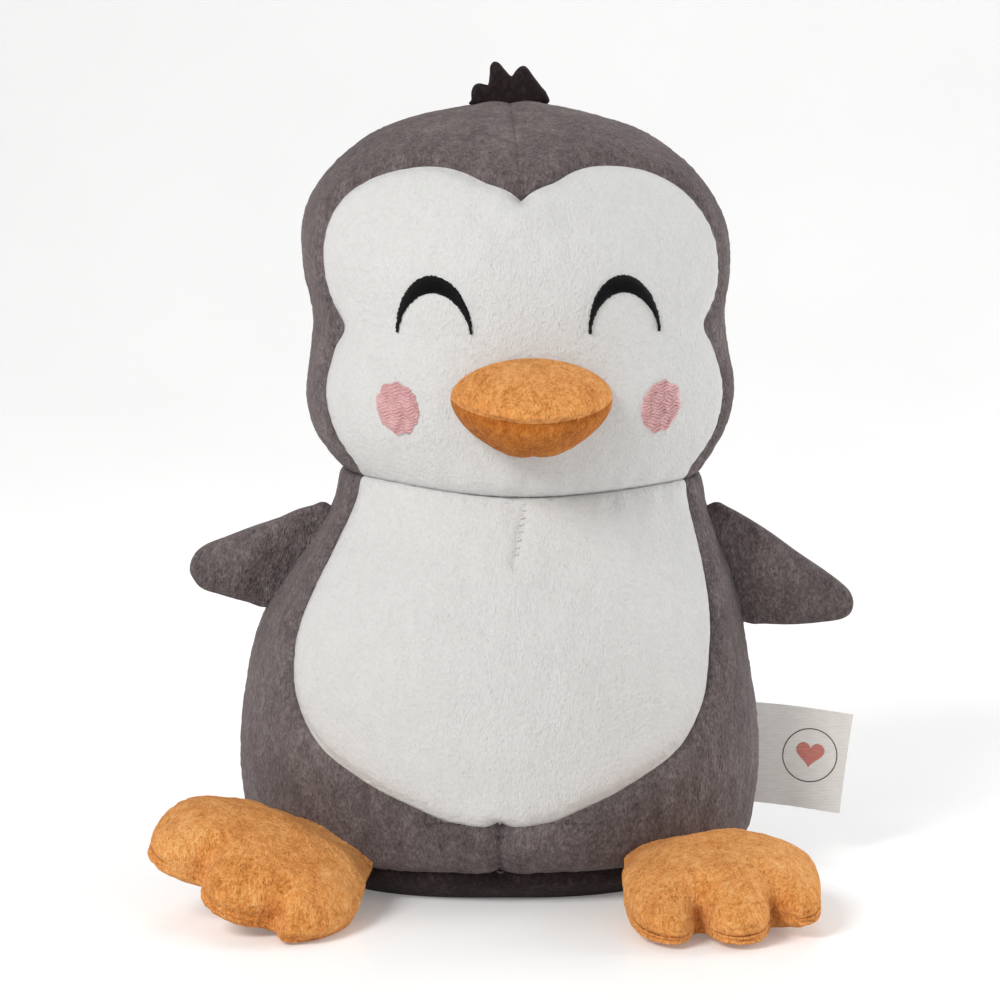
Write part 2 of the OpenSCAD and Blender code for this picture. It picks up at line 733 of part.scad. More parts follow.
module foot_left_upper() {
    color(orange) foot_cloth(side_left, true);
}
module foot_left_sole() {
    color(orange_dark) foot_cloth(side_left, false);
}
module foot_left_stuffing() {
    color(fibre) foot_core(side_left);
}
module foot_right_upper() {
    color(orange) foot_cloth(side_right, true);
}
module foot_right_sole() {
    color(orange_dark) foot_cloth(side_right, false);
}
module foot_right_stuffing() {
    color(fibre) foot_core(side_right);
}

// ---- label ----
module label() {
    color(satin)
        translate(label_root)
            rotate([0, label_dip, 0])
                translate([0, -label_t / 2, -label_h / 2])
                    cube([label_l, label_t, label_h]);
}

module sized() {
    scale(toy_h / drawn_h) children();
}
sized() head_left_panel();
sized() head_right_panel();
sized() face_panel();
sized() head_stuffing();
sized() tuft_front();
sized() tuft_back();
sized() beak_upper();
sized() beak_lower();
sized() beak_stuffing();
sized() eye_left();
sized() eye_right();
sized() cheek_left();
sized() cheek_right();
sized() body_left_panel();
sized() body_right_panel();
sized() belly_panel();
sized() base_panel();
sized() body_stuffing();
sized() wing_left_front();
sized() wing_left_back();
sized() wing_left_stuffing();
sized() wing_right_front();
sized() wing_right_back();
sized() wing_right_stuffing();
sized() foot_left_upper();
sized() foot_left_sole();
sized() foot_left_stuffing();
sized() foot_right_upper();
sized() foot_right_sole();
sized() foot_right_stuffing();
sized() label();
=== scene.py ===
import json
import math
import bmesh
import bpy
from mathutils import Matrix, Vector
import numpy as np
from numpy.linalg import norm


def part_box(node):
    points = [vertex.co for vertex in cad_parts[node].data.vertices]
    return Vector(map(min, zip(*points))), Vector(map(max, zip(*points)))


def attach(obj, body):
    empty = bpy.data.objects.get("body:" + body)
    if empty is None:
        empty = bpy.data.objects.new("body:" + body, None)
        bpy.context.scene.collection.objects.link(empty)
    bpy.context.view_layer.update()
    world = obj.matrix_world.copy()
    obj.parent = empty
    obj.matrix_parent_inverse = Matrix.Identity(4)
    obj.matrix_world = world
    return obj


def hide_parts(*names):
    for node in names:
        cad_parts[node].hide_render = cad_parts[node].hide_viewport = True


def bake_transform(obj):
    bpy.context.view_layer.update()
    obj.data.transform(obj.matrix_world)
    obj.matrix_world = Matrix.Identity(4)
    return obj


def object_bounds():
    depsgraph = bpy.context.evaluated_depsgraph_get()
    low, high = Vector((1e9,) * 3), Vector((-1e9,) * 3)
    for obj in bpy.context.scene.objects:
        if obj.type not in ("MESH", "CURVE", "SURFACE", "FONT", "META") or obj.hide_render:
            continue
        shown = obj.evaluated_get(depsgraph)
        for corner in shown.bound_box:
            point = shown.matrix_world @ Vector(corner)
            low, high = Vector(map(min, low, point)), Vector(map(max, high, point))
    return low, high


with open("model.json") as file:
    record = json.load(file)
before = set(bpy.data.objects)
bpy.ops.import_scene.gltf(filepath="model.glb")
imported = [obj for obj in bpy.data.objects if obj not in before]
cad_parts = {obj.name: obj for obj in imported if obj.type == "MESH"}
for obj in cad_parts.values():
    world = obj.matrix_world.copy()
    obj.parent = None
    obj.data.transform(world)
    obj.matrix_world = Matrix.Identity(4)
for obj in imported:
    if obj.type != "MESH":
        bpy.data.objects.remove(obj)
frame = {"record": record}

# The CAD's own box, before any piece of cloth is built.
cad_low, cad_high = [list(map(float, v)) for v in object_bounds()]
# The toy's height as drawn, in millimetres, and so one millimetre in metres.
TOY_H = 269.97
MM = (cad_high[2] - cad_low[2]) / TOY_H
JOINTS = {j["name"]: j for j in frame["record"]["behaviour"]["joints"]}
SIDES = (1, "left"), (-1, "right")


def fine(n):
    """A count of rows or columns."""
    return n


def metres(p):
    """A point of the drawing in metres, as a plain tuple."""
    return tuple(float(v) * MM for v in p)


scene = bpy.context.scene


def placed(name, data):
    """A new object in the scene."""
    ob = bpy.data.objects.new(name, data)
    scene.collection.objects.link(ob)
    return ob


# ---- camera
# The camera's angle above level, the point it looks at, its distance, how wide the picture is
# there, and its sensor's width.
EL = math.radians(8)
AIM = np.array([0, 0, 123.4])
REACH = 1150
WIDE = 337
SENSOR = 36
cam_data = bpy.data.cameras.new("camera")
cam = placed("camera", cam_data)
cam.location = metres(AIM + REACH * np.array([0, -math.cos(EL), math.sin(EL)]))
cam.rotation_euler = (math.radians(90) - EL, 0, 0)
cam_data.sensor_width = SENSOR
cam_data.lens = SENSOR * REACH / WIDE
scene.camera = cam
scene.view_settings.view_transform = "Standard"


# ---- numbers
def smooth(t):
    """A soft step from 0 to 1."""
    t = np.clip(t, 0, 1)
    return t * t * (3 - 2 * t)


def mix(a, b, t):
    return a * (1 - t) + b * t


def bell(x, width):
    """A soft bump, 1 where x is 0."""
    return np.exp(-((x / width) ** 2))


def joined(*parts):
    """Coordinates side by side, as points."""
    return np.stack(np.broadcast_arrays(*parts), -1)


def bisect(lo, hi, low_side, steps):
    """Closes in from both ends on where low_side turns false."""
    for _ in range(steps):
        mid = (lo + hi) / 2
        keep = low_side(mid)
        lo, hi = np.where(keep, mid, lo), np.where(keep, hi, mid)
    return lo, hi


def unit(v):
    v = np.asarray(v, float)
    return v / np.maximum(norm(v, axis=-1, keepdims=True), 1e-9)


def through(table, x):
    """The smooth curve through knots of (x, height)."""
    t = np.array(table, float)
    xs, ys = t[:, 0], t[:, 1]
    m = np.zeros(len(xs))
    m[1:-1] = (ys[2:] - ys[:-2]) / (xs[2:] - xs[:-2])
    x = np.clip(x, xs[0], xs[-1])
    i = np.clip(np.searchsorted(xs, x, side="right") - 1, 0, len(xs) - 2)
    h = xs[i + 1] - xs[i]
    s = (x - xs[i]) / h
    return (
        (1 + 2 * s) * (1 - s) ** 2 * ys[i]
        + s * (1 - s) ** 2 * h * m[i]
        + s * s * (3 - 2 * s) * ys[i + 1]
        + s * s * (s - 1) * h * m[i + 1]
    )


def curve(points, n, closed=False):
    """A smooth curve through points, n to a span."""
    p = np.array(points, float)
    m = len(p)
    out = []
    for i in range(m if closed else m - 1):
        a = p[i - 1] if closed else p[max(i - 1, 0)]
        b, c = p[i], p[(i + 1) % m]
        d = p[(i + 2) % m] if closed else p[min(i + 2, m - 1)]
        for k in range(n):
            t = k / n
            out.append(
                0.5 * (2 * b + (c - a) * t + (2 * a - 5 * b + 4 * c - d) * t * t
                       + (3 * b - a - 3 * c + d) * t ** 3)
            )
    if not closed:
        out.append(p[-1])
    return np.array(out)


def run_along(line):
    """How far along a line each of its points is."""
    return np.r_[0, np.cumsum(norm(np.diff(line, axis=0), axis=1))]


def spread(line, n, closed=False):
    """n + 1 points at even steps along a line, or n round a closed one."""
    line = np.vstack([line, line[:1]]) if closed else np.asarray(line)
    at = run_along(line)
    s = np.linspace(0, at[-1], n + 1)
    if closed:
        s = s[:-1]
    return np.stack([np.interp(s, at, line[:, k]) for k in range(line.shape[1])], -1)


def lattice(i, j, k, seed):
    """A steady value from -1 to 1 for each corner of a grid."""
    h = (i * 374761393 + j * 668265263 + k * 2147483647 + seed * 1274126177) & 0xFFFFFFFF
    h = ((h ^ (h >> 13)) * 1103515245) & 0xFFFFFFFF
    h = ((h ^ (h >> 16)) * 2654435761) & 0xFFFFFFFF
    return ((h ^ (h >> 15)) & 0xFFFFFF) / float(0xFFFFFF) * 2 - 1


def noise(points, size, seed=0):
    """Smooth noise from -1 to 1 whose lumps are about size across."""
    p = np.asarray(points, float) / size + 1000
    i = np.floor(p).astype(np.int64)
    f = p - i
    f = f * f * (3 - 2 * f)
    out = 0
    for corner in np.ndindex(2, 2, 2):
        weight = np.prod(np.where(corner, f, 1 - f), -1)
        out = out + weight * lattice(*np.moveaxis(i + corner, -1, 0), seed)
    return out


def nap_noise(p, seed):
    """The unevenness of short pile."""
    return 0.65 * noise(p, 2.3, seed) + 0.5 * noise(p, 1.25, seed + 1)


def nearest(points, line, closed=False):
    """Distance from each point to a line, and how far along the line its nearest point is."""
    line = np.vstack([line, line[:1]]) if closed else np.asarray(line)
    a, b = line[:-1], line[1:]
    ab = b - a
    length = norm(ab, axis=1)
    start = run_along(line)[:-1]
    flat = points.reshape(-1, points.shape[-1])
    best = np.full(len(flat), 1e9)
    along = np.zeros(len(flat))
    for k in range(0, len(flat), 4000):
        p = flat[k : k + 4000]
        t = np.einsum("pc,sc->ps", p, ab) - np.einsum("sc,sc->s", a, ab)
        t = np.clip(t / np.maximum(length ** 2, 1e-12), 0, 1)
        d = norm(p[:, None] - (a + t[..., None] * ab), axis=2)
        i = d.argmin(1)
        r = np.arange(len(p))
        best[k : k + 4000] = d[r, i]
        along[k : k + 4000] = start[i] + t[r, i] * length[i]
    return best.reshape(points.shape[:-1]), along.reshape(points.shape[:-1])


# ---- forms
# A form: its middle's height, then (angle from straight up, radius) for its side, front and back.
HEAD_Z, BODY_Z, NECK_Z = 195, 62, 132
HEAD = (
    HEAD_Z,
    [(0, 61.4), (20, 63), (45, 69.6), (60, 73), (72, 73.8), (84, 71.4), (96, 69), (106, 72.5),
     (116, 79.5), (127, 84.2), (138, 85.6), (180, 60)],
    [(0, 61.4), (20, 61.5), (45, 64), (60, 65.5), (75, 65), (90, 63.5), (102, 63.5), (115, 67.5),
     (127, 73.5), (141, 80), (180, 60)],
    [(0, 61.4), (20, 61.8), (45, 64.2), (60, 66), (75, 66.2), (90, 65), (102, 64.5), (115, 66),
     (127, 70), (141, 79), (180, 60)],
)
BODY = (
    BODY_Z,
    [(0, 70), (30, 84), (39.6, 90.5), (47, 86.3), (56, 84), (72, 84.2), (87, 85.3), (97, 88.1),
     (108, 92.4), (115, 95.4), (119.5, 97), (125, 94.8), (134, 89.1), (180, 62)],
    [(0, 70), (35.5, 86), (51, 77), (71, 72), (90, 72), (107, 77), (120, 83.4), (129.7, 84.5),
     (138.4, 82.9), (180, 62)],
    [(0, 70), (35.5, 86), (52, 78.4), (72, 74.6), (90, 75), (106, 79.1), (120, 85.1), (129, 86),
     (137.4, 84.2), (180, 62)],
)
# Seams of the face and the belly, as (angle round from the front, angle down from straight up).
# Both panels meet the neck at CORNER_AZ.
CORNER_AZ = 64
FACE_SEAM = [
    (0, 59.5), (11, 55), (20, 51.2), (30, 49.8), (43, 52), (55, 57.5), (62.5, 64.5), (66, 73),
    (67.5, 82), (66, 92), (61, 98.7), (66.5, 105), (69.5, 112), (69, 120), (67, 128),
]
BELLY_SEAM = [
    (65.5, 50), (62.5, 63), (59.5, 76), (55, 88), (47, 97.5), (37, 103.5), (26, 108.8),
    (13, 113.8), (0, 115.5),
]
# How far down the base's seam runs, at the front and at the sides.
BASE_FRONT, BASE_SIDE = 128.3, 124


def direction(az, polar):
    a, p = np.radians(az), np.radians(polar)
    return joined(np.sin(p) * np.sin(a), -np.sin(p) * np.cos(a), np.cos(p))


def radius(form, d):
    """A form's radius in each direction: a rounded oblong between its side and front outlines."""
    polar = np.degrees(np.arccos(np.clip(d[..., 2], -1, 1)))
    h = np.hypot(d[..., 0], d[..., 1]) + 1e-9
    power = 2 + 0.15 * h
    front = np.where(d[..., 1] < 0, through(form[2], polar), through(form[3], polar))
    across = np.abs(d[..., 0]) / h / through(form[1], polar)
    along = np.abs(d[..., 1]) / h / front
    r = (across ** power + along ** power) ** (-1 / power)
    if form is BODY:
        r = np.where(d[..., 2] < 0, np.minimum(r, BODY_Z / np.maximum(-d[..., 2], 1e-9)), r)
    return r


def posture(p):
    """The toy's slight lean and turn to its left, growing from the hips up."""
    x, y, z = np.moveaxis(p, -1, 0)
    a = np.radians(3) * smooth((z - 110) / 40)
    shift = 7 * smooth((z - 70) / 60) - 4 * smooth((z - 165) / 90)
    return joined(x * np.cos(a) - y * np.sin(a) + shift, x * np.sin(a) + y * np.cos(a), z)


def to_map(ap):
    """A flat map of a form: angle down as distance, angle round as direction."""
    ap = np.asarray(ap, float)
    a = np.radians(ap[..., 0])
    return ap[..., 1:2] * joined(np.sin(a), np.cos(a))


def from_map(q):
    return direction(np.degrees(np.arctan2(q[..., 0], q[..., 1])), norm(q, axis=-1))


def neck_polar(form, az):
    """The angle at which a form meets the neck's height."""

    def above(polar):
        d = direction(az, polar)
        return form[0] + radius(form, d) * d[..., 2] > NECK_Z

    return sum(bisect(20.0, 160.0, above, 24)) / 2


def base_polar(az):
    return mix(BASE_SIDE, BASE_FRONT, np.abs(np.cos(np.radians(az))) ** 4)


# Both forms' reach at the neck, and the ring between them where they are sewn together.
RING_AZ = np.linspace(-180, 180, 361)


def ring_out(form):
    p = neck_polar(form, RING_AZ)
    d = direction(RING_AZ, p)
    return radius(form, d) * np.hypot(d[..., 0], d[..., 1])


NECK_OUT = {id(f): ring_out(f) for f in (HEAD, BODY)}
NECK_MEAN = (NECK_OUT[id(HEAD)] + NECK_OUT[id(BODY)]) / 2


# ---- seams on the forms
# Steps between two knots of a seam's drawing.
KNOT = 10
MIRROR = np.array([-1, 1])


def edge_line(az_polar):
    return curve(to_map(az_polar), KNOT)


face_edge = edge_line(FACE_SEAM + [(CORNER_AZ, float(neck_polar(HEAD, CORNER_AZ)))])
belly_edge = edge_line([(CORNER_AZ, float(neck_polar(BODY, CORNER_AZ)))] + BELLY_SEAM)
head_back = float(neck_polar(HEAD, 180))
body_back = float(neck_polar(BODY, 180))


def on_form(form, q):
    d = from_map(q)
    return d * radius(form, d)[..., None] + [0, 0, form[0]]


def straight(a, b, n=60):
    return to_map([(mix(a[0], b[0], t), mix(a[1], b[1], t)) for t in np.linspace(0, 1, n)])


over_crown = np.array([(0, y) for y in np.linspace(FACE_SEAM[0][1], -head_back, 120)])
chin = straight((0, 127), (0, float(neck_polar(HEAD, 0))))
throat = straight((-0.6, float(neck_polar(BODY, 0))), (-0.6, 50.5))
front_line = straight((0, 115.5), (0, BASE_FRONT))
back_line = straight((180, body_back), (180, BASE_FRONT))
ring = np.linspace(-180, 180, 241)
base_line = to_map(joined(ring, base_polar(ring)))
# Each seam: its line, the depth and width of its valley, then its puckers' depth and spacing.
SEAMS = {
    id(HEAD): [
        (face_edge, 1.5, 2.6, 0.22, 5.2),
        (face_edge * MIRROR, 1.5, 2.6, 0.22, 5.6),
        (over_crown, 0.4, 2.0, 0.08, 6.3),
        (chin, 0.6, 1.6, 0.1, 3.4),
    ],
    id(BODY): [
        (belly_edge, 1.4, 2.6, 0.2, 5.8),
        (belly_edge * MIRROR, 1.4, 2.6, 0.2, 5.3),
        (front_line, 1.4, 2.2, 0.2, 4.4),
        (back_line, 1.3, 2.6, 0.2, 6.1),
        (base_line, 2.0, 3.0, 0.3, 5.4),
        (throat, 1.0, 1.5, 0.1, 3.6),
    ],
}
for form in (HEAD, BODY):
    SEAMS[id(form)] = [(on_form(form, line), *rest) for line, *rest in SEAMS[id(form)]]


def plump(form, p, pile):
    """How far the cloth stands from the form: lumps of stuffing, seams and their puckers."""
    near_neck = bell(p[..., 2] - NECK_Z, 3.5)
    out = 0.55 * noise(p, 34, 3) + 0.28 * noise(p, 15, 4)
    for line, depth, width, pucker, step in SEAMS[id(form)]:
        dist, along = nearest(p, line)
        wave = np.sin(math.tau * (along + 1.3 * noise(p, 11, 8)) / step)
        out = out - depth * bell(dist, width) + 0.55 * bell(dist - 7, 5)
        out = out + pucker * wave * bell(dist, 4.5) * smooth(dist / 1.2)
    return (out + pile * nap_noise(p, 11)) * (1 - near_neck)


def dressed(form, q, pile, inset=0.0):
    """Points on the cloth over a form, in the toy's posture."""
    p = on_form(form, q)
    out = plump(form, p, pile)
    if form is BODY:
        # The base rests flat, so its cloth follows the form there.
        out = out * smooth((p[..., 2] - 2) / 8)
    p = p + from_map(q) * (out - inset)[..., None]
    # Both forms meet at one ring round the neck, drawn in by the seam.
    x, y, z = np.moveaxis(p, -1, 0)
    az = np.degrees(np.arctan2(x, -y))
    h = np.hypot(x, y)
    own = np.interp(az, RING_AZ, NECK_OUT[id(form)])
    mean = np.interp(az, RING_AZ, NECK_MEAN)
    dz = z - NECK_Z
    crease = -0.9 * bell(dz, 3) + 0.12 * np.sin(az * 0.9) * bell(dz, 6)
    new = h + (mean - own) * bell(dz, 8) - crease
    if not inset:
        fold = 0.22 * np.sin(np.radians(az) * 34 + 2 * noise(p, 14, 9))
        new = new + fold * bell(np.abs(dz) - 4, 4)
    s = new / np.maximum(h, 1e-6)
    # The ring runs higher at the toy's sides than at its front.
    at_side = smooth(np.abs(az) / 62) * smooth((150 - np.abs(az)) / 40)
    rise = (3.3 - 0.9 * np.sin(np.radians(az))) * at_side
    return posture(joined(x * s, y * s, z + (rise - 0.7) * bell(dz, 12)))


def patch(first, last, left, right):
    """A patch of the map between four edges that meet at its corners."""
    s = np.linspace(0, 1, len(left))[:, None, None]
    t = np.linspace(0, 1, len(first))[:, None]
    return (
        mix(first, last, s) + mix(left[:, None], right[:, None], t)
        - mix(mix(first[0], first[-1], t), mix(last[0], last[-1], t), s)
    )


# ---- meshes
def mesh_object(name, verts, faces, material=None):
    me = bpy.data.meshes.new(name)
    verts = np.asarray(verts, float) * MM
    me.from_pydata(verts.tolist(), [], faces)
    me.update()
    ob = placed(name, me)
    me.polygons.foreach_set("use_smooth", [True] * len(me.polygons))
    if material:
        me.materials.append(material)
    return ob


def grid_faces(rows, cols, base=0, flip=False, wrap=False):
    """Four-sided faces over a grid of points whose first is number base."""
    c2 = cols if wrap else cols - 1
    i, j = np.meshgrid(np.arange(rows - 1), np.arange(c2), indexing="ij")
    a = base + i * cols + j
    b = base + i * cols + (j + 1) % cols
    f = np.stack([a, b, b + cols, a + cols], -1).reshape(-1, 4)
    return (f[:, ::-1] if flip else f).tolist()


def outward(ob):
    """Turns a closed mesh's faces to point out of it."""
    bm = bmesh.new()
    bm.from_mesh(ob.data)
    bmesh.ops.recalc_face_normals(bm, faces=bm.faces)
    if bm.calc_volume(signed=True) < 0:
        bmesh.ops.reverse_faces(bm, faces=bm.faces)
    bm.to_mesh(ob.data)
    bm.free()
    return ob


def slab(name, top, low, material):
    """A closed piece of cloth between two grids of points."""
    rows, cols = top.shape[:2]
    n = rows * cols
    faces = grid_faces(rows, cols) + grid_faces(rows, cols, n, True)
    ids = np.arange(n).reshape(rows, cols)
    rim = np.concatenate([ids[0], ids[1:, -1], ids[-1, -2::-1], ids[-2:0:-1, 0]]).tolist()
    faces += [[b, a, a + n, b + n] for a, b in zip(rim, rim[1:] + rim[:1])]
    verts = np.vstack([top.reshape(-1, 3), low.reshape(-1, 3)])
    return outward(mesh_object(name, verts, faces, material))


def ringed(name, outer, inner, material):
    """A closed piece between two sets of rings, each closed by a middle point at its first ring."""
    rows, cols = outer.shape[:2]
    verts = np.vstack([[outer[0].mean(0)], outer.reshape(-1, 3),
                       [inner[0].mean(0)], inner.reshape(-1, 3)])
    n = 1 + rows * cols
    ring = [(j, (j + 1) % cols) for j in range(cols)]
    faces = [[0, 1 + a, 1 + b] for a, b in ring]
    faces += grid_faces(rows, cols, 1, False, True)
    faces += [[n, n + 1 + b, n + 1 + a] for a, b in ring]
    faces += grid_faces(rows, cols, n + 1, True, True)
    k = 1 + (rows - 1) * cols
    faces += [[k + a, k + a + n, k + b + n, k + b] for a, b in ring]
    return outward(mesh_object(name, verts, faces, material))


# ---- materials
def feed(node, inputs):
    """Sets a node's inputs, each to a value or to another node's output."""
    for key, value in inputs.items():
        if isinstance(value, bpy.types.NodeSocket):
            node.id_data.links.new(value, node.inputs[key])
        else:
            node.inputs[key].default_value = value
    return node


def new_node(kind, inputs):
    """A new node in the tree of its first input."""
    nodes = next(iter(inputs.values())).id_data.nodes
    return feed(nodes.new("ShaderNode" + kind), inputs)


def tree(name):
    """A new material, its shader and the place each point has on its piece."""
    m = bpy.data.materials.new(name)
    m.use_nodes = True
    nodes = m.node_tree.nodes
    return m, nodes["Principled BSDF"], nodes.new("ShaderNodeTexCoord").outputs["Object"]


def tex_noise(coords, scale, distortion=0.0, rough=0.5, detail=2.0):
    inputs = {"Vector": coords, "Scale": scale, "Detail": detail, "Roughness": rough}
    return new_node("TexNoise", inputs | {"Distortion": distortion}).outputs["Fac"]


def ramp(value, stops):
    r = new_node("ValToRGB", {"Fac": value})
    el = r.color_ramp.elements
    while len(el) < len(stops):
        el.new(0.5)
    for e, (pos, col) in zip(el, stops):
        e.position = pos
        e.color = (*col, 1)
    return r.outputs["Color"]


def math_node(op, *values):
    n = new_node("Math", dict(enumerate(values)))
    n.operation = op
    return n.outputs[0]


def stretched(coords, scale, turn=(0, 0, 0)):
    inputs = {"Vector": coords, "Scale": scale, "Rotation": turn}
    return new_node("Mapping", inputs).outputs["Vector"]


def bumps(height, strength, depth):
    inputs = {"Height": height, "Strength": strength, "Distance": depth}
    return new_node("Bump", inputs).outputs["Normal"]


def pile_cloth(name, dark, mid, light, nap, speck, sheen, tint, bump, flow=(1, 1, 0.7),
               turn=(0.25, 0.1, 0)):
    """Short pile: faint patches where the nap lies differently, tufts, and fine fibres."""
    m, sh, tc = tree(name)
    lay = stretched(tc, flow, turn)
    patches = tex_noise(lay, 26, 0.4)
    brushed = tex_noise(stretched(tc, (1, 1, 0.42), turn), 190, 0.5)
    tufts = tex_noise(lay, 620, 0.2, 0.55)
    fibres = tex_noise(stretched(tc, (1, 1, 0.5), turn), 1700, 0.2, 0.6)
    value = 0.5
    for part, weight in ((patches, 0.36 * nap), (brushed, 0.4 * speck), (tufts, 0.5 * speck),
                         (fibres, 0.75 * speck)):
        value = math_node("MULTIPLY_ADD", math_node("SUBTRACT", part, 0.5), weight, value)
    height = math_node("MULTIPLY_ADD", brushed, 0.35, fibres)
    height = math_node("MULTIPLY_ADD", tufts, 0.9, height)
    feed(sh, {
        "Base Color": ramp(value, [(0.2, dark), (0.5, mid), (0.8, light)]),
        "Roughness": 0.92, "Specular IOR Level": 0.1, "Sheen Weight": sheen,
        "Sheen Roughness": 0.45, "Sheen Tint": (*tint, 1), "Normal": bumps(height, bump, 0.0006),
    })
    return m


def thread_cloth(name, dark, light, rough=0.45, sheen=0.15, scale=1600, shine=0.5):
    """Shiny embroidery thread: fine plies and small changes of tone."""
    m, sh, tc = tree(name)
    plies = tex_noise(stretched(tc, (0.35, 1, 1.6)), scale)
    tone = math_node("MULTIPLY", tex_noise(tc, 300), 0.4)
    value = math_node("MULTIPLY_ADD", plies, 0.6, tone)
    feed(sh, {
        "Base Color": ramp(value, [(0.3, dark), (0.7, light)]), "Roughness": rough,
        "Specular IOR Level": shine, "Sheen Weight": sheen, "Normal": bumps(plies, 0.35, 0.0003),
    })
    return m


# Each pile's dark, middle and light colours, then its nap, speck, sheen, tint and bump.
grey, white, shade, orange, deep_orange, velvet, fibre = [pile_cloth(*look) for look in (
    ("grey pile", (0.056, 0.042, 0.043), (0.128, 0.103, 0.103), (0.245, 0.208, 0.206),
     1.1, 1.0, 0.16, (0.85, 0.75, 0.76), 1.5),
    ("white pile", (0.5, 0.497, 0.487), (0.615, 0.612, 0.603), (0.7, 0.697, 0.69),
     0.16, 0.4, 0.08, (1, 1, 1), 0.85, (1, 1, 1), (0, 0, 0)),
    # A darker copy of the grey pile: painted shade for the base, which faces down.
    ("shaded grey pile", (0.012, 0.008, 0.0085), (0.023, 0.016, 0.017), (0.06, 0.046, 0.048),
     0.8, 1.0, 0.08, (0.8, 0.7, 0.72), 0.9),
    ("orange pile", (0.46, 0.145, 0.028), (0.76, 0.31, 0.08), (0.93, 0.5, 0.19),
     1.25, 1.2, 0.14, (1, 0.75, 0.5), 1.7),
    # A darker copy of the orange pile: painted shade for the lower beak, which lies under the upper
    # half.
    ("orange pile with painted shade", (0.27, 0.07, 0.009), (0.45, 0.14, 0.02), (0.62, 0.24, 0.055),
     1.2, 1.2, 0.12, (1, 0.75, 0.5), 1.6),
    ("dark velvet", (0.008, 0.005, 0.0055), (0.018, 0.012, 0.013), (0.05, 0.038, 0.04),
     0.8, 0.6, 0.12, (0.75, 0.65, 0.67), 0.6),
    ("loose fibre", (0.7, 0.69, 0.66), (0.82, 0.81, 0.79), (0.9, 0.89, 0.87),
     0.6, 1.0, 0.4, (1, 1, 1), 0.8),
)]
black = thread_cloth(
    "black thread", (0.0015, 0.0015, 0.002), (0.005, 0.005, 0.006), 0.62, 0.0, shine=0.15)
pink = thread_cloth("pink thread", (0.44, 0.2, 0.205), (0.7, 0.44, 0.44), 0.4)
white_thread = thread_cloth("white thread", (0.6, 0.59, 0.57), (0.74, 0.735, 0.72), 0.7)
grey_thread = thread_cloth("grey thread", (0.03, 0.024, 0.025), (0.075, 0.06, 0.062), 0.6)
print_ink = thread_cloth("printed heart", (0.5, 0.16, 0.13), (0.62, 0.24, 0.2), 0.7, 0.05, 900)


def satin():
    """Label satin: a fine weave with faint ribs."""
    m, sh, tc = tree("label satin")
    weave = new_node("TexWave", {"Vector": tc, "Scale": 620, "Distortion": 1.2})
    weave.bands_direction = "Z"
    fleck = math_node("MULTIPLY", tex_noise(stretched(tc, (0.3, 1, 1)), 900), 0.6)
    value = math_node("MULTIPLY_ADD", weave.outputs["Fac"], 0.4, fleck)
    colour = ramp(value, [(0.2, (0.66, 0.645, 0.61)), (0.8, (0.82, 0.81, 0.78))])
    feed(sh, {"Base Color": colour, "Roughness": 0.48, "Normal": bumps(value, 0.25, 0.0002)})
    return m


label_cloth = satin()


# ---- head and body panels
# The knot where each long seam is cut in two for its patch's corner.
LOBE_KNOT, BELLY_KNOT = 4, 5
HALF = fine(130) // 2
front_az = np.linspace(-CORNER_AZ, CORNER_AZ, 2 * HALF + 1)
side_az = np.linspace(CORNER_AZ, 180, fine(110) + 1)
# How thick the cloth is.
THICK = 1.6
# The pile's height on each colour of cloth.
PILE = {"grey": 0.3, "white": 0.16}


def neck_line(form, az):
    return to_map(joined(az, neck_polar(form, az)))


def cut(line, i):
    """A line of the map in two, at knot i of its drawing."""
    return line[: i * KNOT + 1], line[i * KNOT :]


def stands_for(ob, node, slot_name, fill=None):
    """Hides the CAD node that a piece stands for. Its slot and fill are not used."""
    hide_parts(node)


def panel(part, form, q, colour):
    """One padded panel of a form's cloth, over a grid of the map."""
    outer, inner = dressed(form, q, PILE[colour]), dressed(form, q, 0, THICK)
    ob = slab(f"{part}_cloth", outer, inner, grey if colour == "grey" else white)
    stands_for(ob, f"{part}_panel", f"{colour}_pile", 0.85)
    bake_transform(ob)


def side_panels(part, form, q):
    """The grey panel on each side of a form, one the other's mirror image."""
    panel(f"{part}_left", form, q, "grey")
    panel(f"{part}_right", form, q * MIRROR, "grey")


top_part, side_part = cut(face_edge, LOBE_KNOT)
first = spread(top_part[::-1], fine(110))
left = spread(side_part, fine(140))
crown_line = spread(over_crown, fine(140))
side_panels("head", HEAD, patch(first, neck_line(HEAD, side_az), left, crown_line))
top_half = spread(top_part[::-1], HALF)
face_top = np.vstack([top_half[:-1] * MIRROR, spread(top_part, HALF)])
side_rows = spread(side_part, fine(120))
face_grid = patch(face_top, neck_line(HEAD, front_az), side_rows * MIRROR, side_rows)
panel("face", HEAD, face_grid, "white")

belly_side, belly_low = cut(belly_edge, BELLY_KNOT)
side_rows = spread(belly_side, fine(110))
low_half = spread(belly_low, HALF)
low_line = np.vstack([low_half[:-1] * MIRROR, low_half[::-1]])
belly_grid = patch(neck_line(BODY, front_az), low_line, side_rows * MIRROR, side_rows)
panel("belly", BODY, belly_grid, "white")

# The body's side panels run from one rail, down the belly's edge and the front seam, to the back.
rail = spread(np.vstack([belly_edge[:-1], front_line]), fine(150))
rail_az = np.degrees(np.arctan2(rail[:, 0], rail[:, 1]))
rail_polar = norm(rail, axis=1)
s = np.linspace(0, 1, len(rail))[:, None]
t = np.linspace(0, 1, len(side_az))[None, :]
az = mix(rail_az[:, None], 180, t)
polar = mix(rail_polar[:, None], mix(body_back, BASE_FRONT, s), t)
polar = polar + mix(
    neck_polar(BODY, az) - mix(neck_polar(BODY, rail_az)[:, None], body_back, t),
    base_polar(az) - mix(base_polar(rail_az)[:, None], BASE_FRONT, t),
    s,
)
side_panels("body", BODY, to_map(joined(az, polar)))

